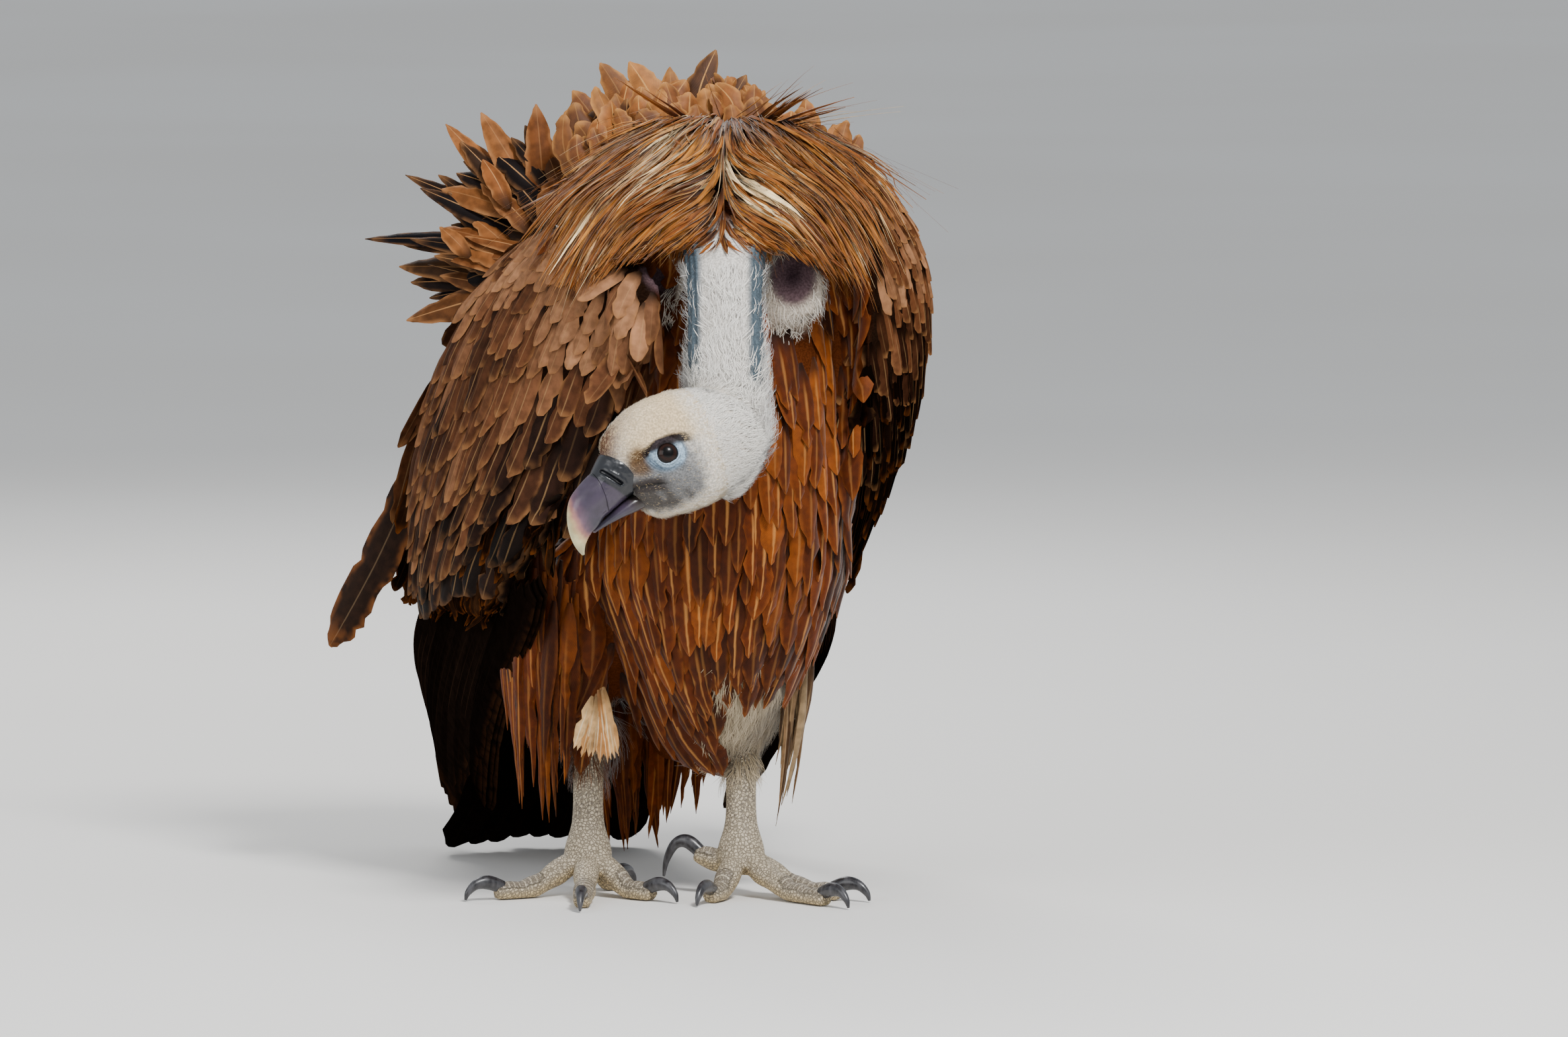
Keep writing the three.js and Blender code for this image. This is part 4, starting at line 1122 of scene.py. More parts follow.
def bill_material(name):
    shader = Shader(name)
    hue = shader.attribute("hue", "Color")
    cloud = shader.band(shader.noise(110, 5), 0.3, 0.7, 0.82, 1.18)
    share = shader.node("ShaderNodeCombineColor", {0: cloud, 1: cloud, 2: cloud})
    base = shader.mix(1.0, hue, share, "MULTIPLY")
    scuffs = shader.noise(500, 4, stretch=(1, 1, 0.25))
    rough = shader.band(scuffs, 0.3, 0.75, 0.28, 0.46)
    normal = shader.bump(scuffs, 0.25, 0.0003)
    return shader.finish(base, rough, normal, Coat_Weight=0.25, Coat_Roughness=0.2)


def claw_material():
    shader = Shader("claw_horn")
    streak = shader.noise(260, 5, stretch=(1, 1, 0.4))
    base = shader.mix(shader.band(streak, 0.35, 0.8), colour("242326"), colour("4b4a4d"))
    rough = shader.band(streak, 0.3, 0.7, 0.25, 0.5)
    return shader.finish(base, rough, shader.bump(streak, 0.3, 0.0003), Coat_Weight=0.3, Coat_Roughness=0.2)


def build_claws():
    material = claw_material()
    for side, toes in TOES.items():
        for toe, (angle, length) in toes.items():
            x, y = STANCE[side]
            turn = math.radians(angle)
            raised = RAISED_HIND_TOE if (side, toe) == ("left", "hind") else 0
            arch = 2.2 if raised else 1
            rows = []
            for reach, height, wide, deep in ((-0.17, 9.5, 4.6, 5), (0.22, 13.5, 4.8, 5.4),
                                              (0.55, 12.5, 3.6, 4), (0.78, 7, 2.3, 2.6), (0.86, 1.2, 0.9, 1)):
                out = length + CLAW_LENGTH * reach
                lift = raised + (height - (9.5 if raised else 0)) * arch
                rows.append([x + math.sin(turn) * out, y - math.cos(turn) * out, lift, wide, deep])
            across = (math.cos(turn), math.sin(turn), 0)
            points, triangles = limb(rows, sides=24, steps=40, across=across)
            points[:, 2] = np.maximum(points[:, 2], 0.3)
            name = f"{toe}_{side}"
            piece(f"nail_{name}", points, triangles, material, [f"claw_{name}"])

# ---- Plumage: where each kind grows and which way it lies --------------------------------------------

def node_surface(nodes, voxel=4.0, smooth=8, inset=0.0):
    """A smooth surface through CAD nodes, for feathers to grow on. It isn't shown."""
    made = remeshed(joined_nodes("growth", nodes), voxel, smooth)
    if inset:
        set_points(made, mesh_points(made) - mesh_normals(made) * inset * MM)
    surface = Surface(made)
    bpy.data.objects.remove(made)
    return surface


WING_FRONT = {  # the height and the place across of each folded wing's front edge
    "right": [(206, -122), (222, -116), (262, -100), (315, -62), (365, -30), (415, -10), (465, -4),
              (494, -22), (512, -62)],
    "left": [(232, 118), (270, 128), (320, 138), (380, 148), (436, 154), (482, 156), (520, 152), (546, 148)],
}
HEAD_FRONT_Y = -160.0  # ahead of this plane and below the crop all skin is neck or head


def past_front(at, side):
    """How far each point lies out from the front edge of that wing."""
    height, edge = np.array(WING_FRONT[side], float).T
    away = at[:, 0] - np.interp(at[:, 2], height, edge)
    return -away if side == "right" else away


def fair(lines, least=0.9):
    """Which shafts hang down without doubling back, as where two surfaces meet."""
    path = np.linalg.norm(np.diff(lines, axis=1), axis=2).sum(axis=1)
    run = lines[:, -1] - lines[:, 0]
    return (np.linalg.norm(run, axis=1) > least * path) & (run[:, 2] < -0.45 * path)


def off_neck(at, reach):
    line = along(NECK_ROWS, np.linspace(0, 1, 30))[:, :3]
    return np.sqrt(np.square(at[:, None] - line[None]).sum(-1).min(axis=1)) > reach


def flow_breast(at):
    """Down the breast, parting round the neck and drawing in again over the belly."""
    spread = (at[:, 0] - 46) / 100
    high = step(330, 480, at[:, 2])
    sway = 0.16 * wobble(at, 38, 7)
    return np.stack([spread * (0.05 + 0.35 * high) + sway, -0.15 + 0 * spread, -np.ones(len(at))], axis=1)


def flow_back(at):
    return np.stack([-0.15 + 0 * at[:, 0], 0.45 + 0.5 * step(480, 560, at[:, 2]), -np.ones(len(at))], axis=1)


def flow_right_wing(at):
    """Down the wing, and outwards over its shoulder."""
    shoulder = step(455, 505, at[:, 2])
    outer = step(-60, -120, at[:, 0])
    low = step(300, 230, at[:, 2])
    return np.stack([-0.22 - 0.9 * shoulder - 0.12 * outer, 0.25 - 0.1 * shoulder + 0.3 * low,
                     -np.ones(len(at))], axis=1)


def flow_left_wing(at):
    high = step(340, 500, at[:, 2])
    low = step(380, 300, at[:, 2])
    return np.stack([-0.3 + 0.44 * high - 0.4 * low, 0.85 - 0.5 * high, -0.8 - 0.2 * high], axis=1)


def flow_ruff(at):
    """Out from a whorl at the top; below it away from a parting, bending down with the distance."""
    off = at[:, 0] - PARTING_X
    far = np.abs(off)
    sway = (0.15 + 0.25 * step(8, 40, far)) * wobble(at, 20, 8)
    whorl = unit(at - RUFF_WHORL) + np.stack([sway, -0.1 + 0 * off, -0.3 - 0.5 * step(40, 100, far)], axis=1)
    across = np.clip(off / 12, -1, 1) * (0.85 - 0.6 * step(45, 110, far))
    parted = np.stack([across + sway, -0.15 + 0 * off, -0.45 - 0.75 * step(15, 75, far)], axis=1)
    share = step(586, 556, at[:, 2])[:, None]
    return unit(whorl) * (1 - share) + unit(parted) * share


def flow_neck(at):
    """Up the hanging neck from the nape, with a little swirl."""
    turn = wobble(at, 22, 4)
    return np.stack([0.6 * turn, 0.25 * wobble(at, 18, 6), np.ones(len(at))], axis=1)


def flow_head(at):
    """Backwards from the bill over the crown and cheeks."""
    back = -(in_head([[1.0, 0, 0]]) - in_head([[0.0, 0, 0]]))[0]
    up = (in_head([[0, 0, 1.0]]) - in_head([[0.0, 0, 0]]))[0]
    local = head_frame(at)
    rise = 0.35 * step(10, 40, local[:, 2]) - 0.25 * step(0, -30, local[:, 2])
    return back[None] + up[None] * rise[:, None] + 0.25 * np.stack([wobble(at, 9, k) for k in (1, 2, 3)], 1)


RUFF_WHORL = np.array([45.0, 6.0, 592.0])
RUFOUS = [(0.0, "210c02"), (0.5, "552304"), (1.0, "84430f")]
COVERT = [(0.0, "986b4b"), (0.3, "5d3822"), (0.65, "27150d"), (1.0, "0c0705")]
DARK = [(0.0, "22160e"), (0.5, "130c08"), (1.0, "080504")]


CROP_BAND = np.array([128.0, -90.0, 468.0])


def grow_breast(skin):
    """The long pointed feathers of the breast and belly, each with a cream streak along its shaft."""
    def wanted(at, normal):
        bare = np.zeros(len(at), bool)
        for hollow, width, _ in CROP_HOLLOWS:
            bare |= np.linalg.norm((at - hollow) / (1, 1.6, 1.25), axis=1) < width * 1.25
        belly = np.where(at[:, 2] < 330, 16, -4)
        inner = (past_front(at, "right") < 0) & (past_front(at, "left") < belly)
        inner &= (at[:, 1] < 10) | (at[:, 0] < 100)
        shank = (at[:, 2] > 212) | ((at[:, 0] < 0) & (at[:, 2] > 160)) | (np.abs(at[:, 0] - 12) < 14) & (at[:, 2] > 112)
        front = (at[:, 1] < 40) & (at[:, 1] > HEAD_FRONT_Y) & (at[:, 2] > 84) & (at[:, 2] < 535)
        off_head = np.linalg.norm(head_frame(at) / (1.45, 1, 1.3), axis=1) > 60
        return front & inner & shank & ~bare & off_head & off_neck(at, 37)

    roots, normals = scatter(skin, 70000, wanted, 10.6, (1, 1, 0.5), seed=2)
    at = design(roots)
    rng = np.random.default_rng(3)
    high = step(300, 500, at[:, 2])
    length = 66 - 22 * high + 12 * rng.random(len(at))
    lift = 0.09 + 0.08 * rng.random(len(at))
    lines, outs = laid(skin, roots, normals, flow_breast, length, rings=9, lift=lift)
    kept = fair(lines, 0.85)
    lines, outs, at = lines[kept], outs[kept], at[kept]
    tone = 0.36 + 0.3 * wobble(at, 45, 2) + 0.26 * step(240, 480, at[:, 2]) + 0.12 * rng.normal(size=len(at))
    material = feather_material("rufous_breast", RUFOUS, shaft="c98a48", shaft_share=0.6, shaft_width=0.2,
                                edge="8a4a18", edge_share=0.6, barbs=20, painted_root_shade=0.85, gloss=0.1)
    vanes("breast_feathers", lines, outs, 19.0 + 6 * rng.random(len(at)), material,
          columns=5, camber=0.35, thick=0.9, rise=0.45, point=0.5, sharp=1.9, blunt=0.7,
          ragged=0.22, tone=np.clip(tone, 0, 1), roll=0.12 * rng.normal(size=len(at)), seed=12)


def grow_back(skin):
    """Broad brown feathers over the back, between the wings and down the rump."""
    def wanted(at, normal):
        behind = (at[:, 1] > 30) & (at[:, 2] > 150)
        side = np.where(at[:, 2] < 330, 118, 150)
        between = (at[:, 0] > 5 - side) & (at[:, 0] < side)
        return behind & between & (normal[:, 1] > -0.4)

    roots, normals = scatter(skin, 50000, wanted, 15.0, (1, 1, 0.6), seed=6)
    at = design(roots)
    length = 62 + 20 * np.random.default_rng(7).random(len(at))
    lines, outs = laid(skin, roots, normals, flow_back, length, rings=8, lift=0.12)
    kept = fair(lines, 0.8)
    lines, outs, at = lines[kept], outs[kept], at[kept]
    tone = 0.3 + 0.3 * step(480, 250, at[:, 2]) + 0.2 * wobble(at, 50, 9)
    material = feather_material("brown_back", COVERT, shaft="a98257", shaft_share=0.4, shaft_width=0.1,
                                edge="a8805a", edge_share=0.6, barbs=22)
    vanes("back_feathers", lines, outs, 25.0, material, columns=5, camber=0.3, thick=1.0,
          rise=0.4, point=0.5, sharp=2.0, blunt=0.6, ragged=0.15, tone=np.clip(tone, 0, 1), seed=13)


def covert_sizes(at, side):
    """Length, width and tone of each covert by its place: scale-like at the wrist, broad and chestnut along the front,
    long and greyish towards the back edge.
    On the right wing the tone also darkens lower down, partly the coverts' own colour and partly painted shade, and
    more near the front edge low down, which is painted shade."""
    out = past_front(at, side)
    if side == "right":
        low = step(450, 375, at[:, 2])
        outer = step(52, 100, out) * step(500, 430, at[:, 2])
        length = 32 + 34 * low + 30 * outer * (1 - 0.4 * low) - 12 * step(330, 275, at[:, 2])
        width = 14 + 13 * low * (1 - outer) + 1.5 * outer
        # Down the right wing the tone darkens, partly the coverts' own darker colour and partly painted shade.
        tone = 0.05 + 0.56 * low * (1 - outer) + 0.36 * outer + 0.34 * step(360, 285, at[:, 2])
        # Painted shade: low on the wing and near its front edge the coverts are darkened where that part lies in
        # shadow.
        tone = tone + 0.2 * step(42, 0, out) * low
    else:
        low = step(500, 390, at[:, 2])
        outer = step(30, 90, out)
        length = 26 + 26 * low + 20 * outer
        width = 13 + 7 * low
        tone = 0.2 + 0.42 * low + 0.15 * outer + 0.3 * step(430, 370, at[:, 2])
    return length, width, tone


def wing_cover(skin, side):
    """The coverts of one wing."""
    right = side == "right"
    bottom, top = (262, 522) if right else (352, 556)

    def wanted(at, normal):
        inside = (past_front(at, side) > -4) & (at[:, 1] > HEAD_FRONT_Y)
        return inside & (at[:, 2] > bottom) & (at[:, 2] < top) & off_neck(at, 40)

    roots, normals = scatter(skin, 60000, wanted, lambda at: 0.54 * covert_sizes(at, side)[1], (1, 1, 0.46),
                             seed=20 + right)
    at = design(roots)
    length, width, tone = covert_sizes(at, side)
    rng = np.random.default_rng(24 + right)
    length = length * (0.9 + 0.25 * rng.random(len(at)))
    flow = flow_right_wing if right else flow_left_wing
    wrist = right * step(-48, -30, at[:, 0]) * step(405, 425, at[:, 2])
    lift = (0.10 if right else 0.05) + 0.06 * rng.random(len(at))
    lines, outs = laid(skin, roots, normals, flow, length + 8 * wrist, rings=9, lift=lift,
                       follow=1 - 0.6 * wrist[:, None])
    kept = fair(lines, 0.85)
    lines, outs, at, width, tone = (v[kept] for v in (lines, outs, at, width, tone))
    tone = tone + 0.16 * wobble(at, 30, 14 + right) + 0.13 * rng.normal(size=len(at))
    material = feather_material("coverts_" + side, COVERT, shaft="b08a5c", shaft_share=0.4, shaft_width=0.08,
                                edge="9c6c42", edge_share=0.65, barbs=22, gloss=0.06 if right else 0.0,
                                rough=0.6, painted_root_shade=0.92, sheen=0.0)
    vanes("coverts_" + side, lines, outs, width * 1.15, material, columns=5,
          camber=0.34, thick=1.0, rise=0.3, point=0.6, sharp=2.4, blunt=0.55, ragged=0.16, stem=0.45,
          tone=np.clip(tone, 0, 1), roll=0.1 * rng.normal(size=len(at)), seed=26 + right)


def grow_frayed_coverts(skin):
    """Worn greater coverts under the others: narrow, dark, with rusty tips, over the quills' roots."""
    for side, bottom, top, reach, width in (("right", 246, 330, 56, 12), ("left", 280, 420, 84, 19)):
        def wanted(at, normal):
            inside = (past_front(at, side) > -2) & (at[:, 1] > HEAD_FRONT_Y)
            return inside & (at[:, 2] > bottom) & (at[:, 2] < top)

        roots, normals = scatter(skin, 40000, wanted, width * 0.55, (1, 1, 0.5), seed=130)
        at = design(roots)
        rng = np.random.default_rng(131)
        length = reach * (0.75 + 0.4 * rng.random(len(at)))
        flow = flow_right_wing if side == "right" else flow_left_wing
        lines, outs = laid(skin, roots, normals, flow, length, rings=11, lift=0.03 + 0.04 * rng.random(len(at)))
        kept = fair(lines, 0.9)
        lines, outs, at = lines[kept], outs[kept], at[kept]
        material = feather_material("frayed_" + side, [(0.0, "3a2415"), (0.5, "150b06"), (1.0, "030202")],
                                    shaft="5a3b22", shaft_share=0.3, shaft_width=0.06, edge="7a4219",
                                    edge_share=0.6, barbs=30, gloss=0.0, rough=0.6, painted_root_shade=0.9, sheen=0.0)
        tone = (0.45 if side == "right" else 0.85) + 0.2 * rng.normal(size=len(at))
        vanes("frayed_coverts_" + side, lines, outs, width * (0.85 + 0.3 * rng.random(len(at))), material,
              columns=5, camber=0.3, thick=1.0, rise=0.2, point=0.7, sharp=2.2, blunt=0.6,
              ragged=0.25, tone=np.clip(tone, 0, 1), stem=0.5, seed=132)


def flight_feathers(side, roots, tips, face, bow, widths):
    """The folded quills under the coverts: primaries along the front, secondaries behind them."""
    material = feather_material("quills_" + side, DARK, shaft="33241a", shaft_share=0.4, shaft_width=0.04,
                                edge="452a17", edge_share=0.4, barbs=46, gloss=0.0, rough=0.7, sheen=0.0)
    face = unit(np.array(face, float))
    for kind, start, end, count, first in (("primaries", 0.0, 0.5, 8, 0.0), ("secondaries", 0.5, 1.0, 8, 4.8)):
        share = start + (end - start) * (np.arange(count) + 0.5) / count
        rng = np.random.default_rng(30)
        root, tip = along(roots, share), along(tips, share)
        layer = (first + np.arange(count) * 0.6)[:, None] * face
        tip = tip + (root - tip) * (0.07 * rng.random((count, 1)))
        reach = root + (root - tip) * 0.18
        lines, outs = arcs(reach - layer - face * 12, tip - layer * 0.6, face, bow=bow + 9, rings=22)
        tone = 0.45 + 0.4 * rng.random(count)
        vanes(f"{kind}_{side}", lines, outs, widths[kind], material, columns=7, camber=0.22,
              thick=1.4, rise=0.12, point=0.8, sharp=2.2, blunt=0.6, ragged=0.06, tone=tone, stem=0.6,
              roll=0.1, seed=31, replaces=[f"wing_{side}_{kind}"])


def build_flight_feathers():
    flight_feathers(
        "right",
        [[-106, -46, 212], [-121, -32, 205], [-140, 18, 205], [-158, 66, 205], [-175, 112, 205], [-190, 156, 205]],
        [[-140, 262, 32], [-154, 296, 24], [-166, 316, 22], [-179, 314, 38], [-186, 288, 74], [-191, 252, 118]],
        (-0.85, -0.5, 0), 6, {"primaries": 30, "secondaries": 34})
    flight_feathers(
        "left",
        [[117, -24, 231], [121, 34, 231], [126, 92, 231], [130, 150, 231], [134, 208, 231]],
        [[48, 298, 36], [42, 330, 28], [52, 334, 46], [76, 320, 80], [98, 300, 118]],
        (1, 0.1, 0), 15, {"primaries": 34, "secondaries": 38})


def build_tail():
    rump = in_body(-6, 170, 204)
    end = rump + (-85.5, 176.7, 0)
    end[2] = 3.5
    count = 9
    share = np.linspace(-1, 1, count)
    layer = np.abs(share)[:, None] * (0, 0, -3.5)
    spread = np.stack([in_body(s, -18 * u * u * 0, 0) - in_body(0, 0, 0) for s, u in zip(share, share)])
    roots = rump + spread * 34 + layer + (0, 0, 4) - 28 * unit(end - rump)
    tips = end + spread * 70 + (0, 0, 5.0) + layer * 0.9
    tips[:, 1] -= 18 * share ** 2 + 18 * np.random.default_rng(40).random(count)
    lines, outs = arcs(roots, tips, (-0.2, 0.55, 0.8), bow=8, rings=18)
    material = feather_material("tail_quills", DARK, shaft="1c130d", shaft_share=0.4, shaft_width=0.04,
                                edge="1c120c", edge_share=0.4, barbs=44, gloss=0.0, rough=0.7, sheen=0.0)
    vanes("tail_feathers", lines, outs, 40, material, columns=7, camber=0.12, thick=1.6,
          rise=0.2, point=0.86, sharp=2.4, blunt=0.5, ragged=0.1, tone=0.9, seed=41, replaces=["tail"])


RUFF_PALE = [(20.0, 574.0), (58.0, 540.0), (45.0, 560.0)]  # cream patches: place across, and height


def grow_ruff():
    """Long pointed plumes that part over the neck and hang to both sides."""
    surface = node_surface(["ruff_right", "ruff_left", "trunk", "neck"], voxel=4.0, smooth=14, inset=2.0)

    def wanted(at, normal):
        across = (at[:, 0] > -64) & (at[:, 0] < 138)
        return across & (at[:, 2] > 502) & (at[:, 1] < 40) & (normal[:, 2] > -0.1)

    roots, normals = scatter(surface, 60000, wanted, 5.2, seed=50)
    at = design(roots)
    rng = np.random.default_rng(51)
    off = np.abs(at[:, 0] - PARTING_X)
    hem = np.interp(off, [0, 40, 85, 150], [490, 489, 470, 474])
    length = np.minimum(42 + 26 * rng.random(len(at)) + 8 * step(30, 80, off), (at[:, 2] - hem) / 0.8)
    long_enough = length > 18
    roots, normals, at, off, length = (v[long_enough] for v in (roots, normals, at, off, length))
    lift = 0.04 + 0.16 * rng.random(len(at)) ** 2
    lines, outs = laid(surface, roots, normals, flow_ruff, length, rings=9, lift=lift, curl=0.02)
    cream = sum(np.exp(-np.square(np.linalg.norm(at[:, ::2] - spot, axis=1) / 15)) for spot in RUFF_PALE)
    tone = 0.34 + 0.3 * wobble(at, 14, 5) + 0.42 * np.clip(cream, 0, 1) + 0.2 * rng.normal(size=len(at))
    material = feather_material("tawny_ruff", [(0.0, "3a1904"), (0.4, "7a3f10"), (0.75, "a96b26"), (1.0, "e8cd9c")],
                                shaft="d39a4e", shaft_share=0.5, shaft_width=0.3, edge="ab6c2b",
                                edge_share=0.5, barbs=10, painted_root_shade=0.8, gloss=0.15)
    vanes("ruff_plumes", lines, outs, 4.5 + 3.5 * rng.random(len(at)), material, columns=3,
          camber=0.4, thick=0.8, rise=0.3, point=0.25, sharp=1.2, blunt=0.95, ragged=0.25,
          tone=np.clip(tone, 0, 1), seed=52, replaces=["ruff_right", "ruff_left"])
    count = 2200
    strands = rng.integers(0, len(roots), count)
    jitter = normals[strands] * 0.0015 + rng.normal(size=(count, 3)) * 0.002
    wisps, outs = laid(surface, roots[strands] + jitter, normals[strands], flow_ruff,
                       length[strands] * (0.8 + 0.6 * rng.random(count)), rings=8,
                       lift=0.08 + 0.25 * rng.random(count) ** 3)
    vanes("ruff_wisps", wisps, outs, 1.1, material, columns=2, thick=0.5, rise=0.2,
          point=0.3, sharp=1.0, blunt=1.0, ragged=0.0, tone=np.clip(tone[strands] + 0.2, 0, 1), seed=53)


def fan_of(roots, tips, count, depth, face, rng):
    """Feathers of a raised fan, in rows one before the other, each row shorter."""
    starts, ends, widths = [], [], []
    for row, short in enumerate(depth):
        share = (np.arange(count) + 0.5 + 0.5 * (row % 2)) / (count + 0.5)
        share = np.clip(share + rng.normal(size=count) * 0.02, 0, 1)
        root, tip = along(roots, share), along(tips, share)
        tip = root + (tip - root) * (short * (1 - (0.13 + 0.04 * row) * rng.random((count, 1))))
        ahead = unit(np.array(face, float)) * row * 5.0
        starts.append(root + ahead - (0, 0, 14))
        ends.append(tip + ahead * 1.5 + rng.normal(size=(count, 3)) * (6, 3, 0))
        widths.append(np.full(count, 20.0 + 6 * short) * (0.7 + 0.5 * rng.random(count)))
    return np.concatenate(starts), np.concatenate(ends), np.concatenate(widths)


CREST_FANS = {
    "front": (
        [[-64, 22, 548], [-40, 12, 566], [0, 6, 578], [46, 4, 582], [90, 10, 574], [122, 24, 552]],
        [[-84, 30, 590], [-62, 26, 606], [-12, 22, 616], [44, 20, 622], [92, 22, 606], [126, 34, 582]],
        9, (1.0, 0.8, 0.62, 0.42), 0.35),
    "back": (
        [[-58, 52, 540], [-40, 44, 566], [-6, 42, 576], [34, 40, 580], [70, 44, 574], [96, 56, 552]],
        [[-80, 60, 606], [-48, 56, 629], [0, 54, 626], [38, 52, 639], [66, 52, 619], [92, 58, 589]],
        9, (0.78, 0.66, 0.54), 0.4),
    "rear": (
        [[-54, 88, 528], [-26, 84, 552], [10, 84, 558], [48, 86, 552], [76, 96, 528]],
        [[-78, 112, 566], [-36, 110, 596], [8, 110, 604], [50, 112, 592], [82, 120, 560]],
        8, (1.0, 0.75), 0.6),
    "left": (
        [[104, 46, 520], [126, 44, 526], [146, 44, 520]],
        [[118, 60, 580], [136, 62, 584], [160, 66, 566]],
        4, (1.0, 0.8, 0.6), 0.35),
}


CREST_PEAKS = [  # root, tip, width and tone of the broad feathers that stand highest
    ((-20, 50, 572), (-49, 56, 627), 27, 0.25), ((0, 46, 574), (-27, 54, 628), 30, 0.1),
    ((12, 44, 576), (4, 54, 624), 21, 0.1), ((22, 42, 576), (39, 52, 637), 25, 0.8),
    ((44, 44, 572), (62, 52, 618), 22, 0.7), ((54, 46, 566), (76, 54, 606), 25, 0.35),
    ((-40, 48, 560), (-70, 56, 606), 26, 0.45),
]


def build_crest():
    """The raised feathers of the shoulders, rounded, with pale shafts and rims."""
    material = feather_material("crest_vanes", [(0.0, "98602a"), (0.4, "75421a"), (0.7, "4a2a10"), (1.0, "1d0f07")],
                                shaft="d19a57", shaft_share=0.7, shaft_width=0.08, edge="b97f40",
                                edge_share=0.75, barbs=22, painted_root_shade=0.8, gloss=0.25)
    for index, (name, (roots, tips, count, depth, tone)) in enumerate(CREST_FANS.items()):
        rng = np.random.default_rng(60 + index)
        starts, ends, widths = fan_of(roots, tips, count, depth, (0, -1, 0.2), rng)
        face = np.array([0, -1, 0.25]) + rng.normal(size=starts.shape) * (0.4, 0.1, 0.15)
        lines, outs = arcs(starts, ends, face, bow=2 + 5 * rng.random(len(starts)),
                           sway=5 * rng.normal(size=len(starts)), rings=12)
        shade = np.clip(tone + 0.22 * rng.normal(size=len(starts)), 0, 1)
        vanes("crest_" + name + "_vanes", lines, outs, widths, material,
              columns=7,
              camber=0.3, thick=0.9, rise=0.4, point=0.58, sharp=2.2, blunt=0.55, ragged=0.14, tone=shade,
              roll=rng.normal(size=len(starts)) * 0.4, stem=0.4, seed=64 + index,
              replaces=["crest_" + name])
    roots, tips, widths, tones = (np.array(part, float) for part in zip(*CREST_PEAKS))
    lines, outs = arcs(roots - (0, 0, 10), tips, (0, -1, 0.25), bow=5, sway=[4, 5, -2, -5, -4, -5, 4], rings=16)
    vanes("crest_peak_vanes", lines, outs, widths, material, columns=7, camber=0.2, thick=0.9,
          rise=0.45, point=0.5, sharp=1.7, blunt=0.7, ragged=0.1, tone=tones, stem=0.35, seed=69)


SCAPULARS = [  # tip, width, where the root stands from the fan's own root, bow and tone
    ((-98, 70, 595), 26, (0, 0, 6), 3, 0.3), ((-140, 80, 588), 28, (-6, 2, 0), 3, 0.15),
    ((-167, 84, 579), 24, (-10, 6, -10), 3, 0.2), ((-198, 88, 540), 17, (-12, 8, -20), 3, 0.8),
    ((-186, 70, 531), 22, (-8, 0, -28), 3, 0.88), ((-229, 92, 491), 16, (-12, 10, -36), 9, 1.0),
    ((-194, 74, 492), 18, (-10, 2, -44), 5, 0.85), ((-203, 90, 470), 28, (-14, 8, -54), 5, 0.62),
    ((-197, 74, 430), 28, (-16, 0, -66), 5, 0.5),
]
SCAPULAR_ROOT = np.array([-92.0, 58.0, 520.0])


def build_scapulars():
    """The ruffled feathers that stand out behind the right shoulder, and smaller ones between."""
    material = feather_material("scapular_vanes", [(0.0, "9a6234"), (0.3, "6e3f1e"), (0.6, "3f2815"),
                                                   (0.82, "120a08"), (1.0, "06050a")],
                                shaft="c99460", shaft_share=0.6, shaft_width=0.07, edge="b07a4c",
                                edge_share=0.6, barbs=30, painted_root_shade=0.85, gloss=0.08, rough=0.5, sheen=0.0)
    starts = np.array([SCAPULAR_ROOT + lift for _, _, lift, _, _ in SCAPULARS])
    tips = np.array([tip for tip, _, _, _, _ in SCAPULARS], float)
    widths = np.array([width for _, width, _, _, _ in SCAPULARS], float)
    bows = np.array([bow for _, _, _, bow, _ in SCAPULARS], float)
    tones = np.array([tone for _, _, _, _, tone in SCAPULARS])
    lines, outs = arcs(starts - unit(tips - starts) * 18, tips, (0.1, -0.9, 0.5), bow=bows, rings=16)
    nodes = [f"scapular_{k + 1}" for k in range(len(SCAPULARS))]
    vanes("raised_scapulars", lines, outs, widths, material, columns=7, camber=0.25,
          thick=1.2, rise=0.35, point=0.45, sharp=1.8, blunt=0.75, ragged=0.06, tone=tones, seed=71,
          replaces=nodes)
    rng = np.random.default_rng(72)
    count = 70
    share = rng.random(count)
    ends = along(tips, share)
    base = SCAPULAR_ROOT + rng.normal(size=(count, 3)) * (14, 14, 10) + share[:, None] * (-12, 6, -70)
    ends = base + (ends - base) * (0.35 + 0.45 * rng.random((count, 1))) + rng.normal(size=(count, 3)) * 5
    ends[:, 1] += 10 * rng.random(count) - 4
    lines, outs = arcs(base, ends, np.array([0.2, -0.9, 0.4]) + rng.normal(size=(count, 3)) * 0.2,
                       bow=3 + 4 * rng.random(count), rings=12)
    vanes("small_scapulars", lines, outs, 13 + 9 * rng.random(count), material, columns=5,
          camber=0.3, thick=0.9, rise=0.35, point=0.5, sharp=2.0, blunt=0.7, ragged=0.12,
          tone=np.clip(rng.choice([0.25, 0.5, 0.8, 0.9], count) + 0.06 * rng.normal(size=count), 0, 1), seed=73)


def build_loose_quill():
    lines, outs = arcs([[-182, 108, 336]], [[-258, 122, 176]], (-0.5, -0.85, 0.2), bow=4, sway=-8, rings=26)
    material = feather_material("loose_quill_vane", [(0.0, "3c2414"), (1.0, "1c110b")], shaft="a88a66", gloss=0.05,
                                shaft_share=0.7, shaft_width=0.05, edge="8a5228", edge_share=1.0, barbs=60,
                                painted_root_shade=0.1)
    vanes("loose_quill_vane", lines, outs, 37.0, material, columns=9, camber=0.12, thick=1.4,
          rise=0.35, point=0.72, sharp=2.4, blunt=0.6, ragged=0.1, tone=0.75, stem=0.12, seed=81,
          replaces=["loose_quill"])


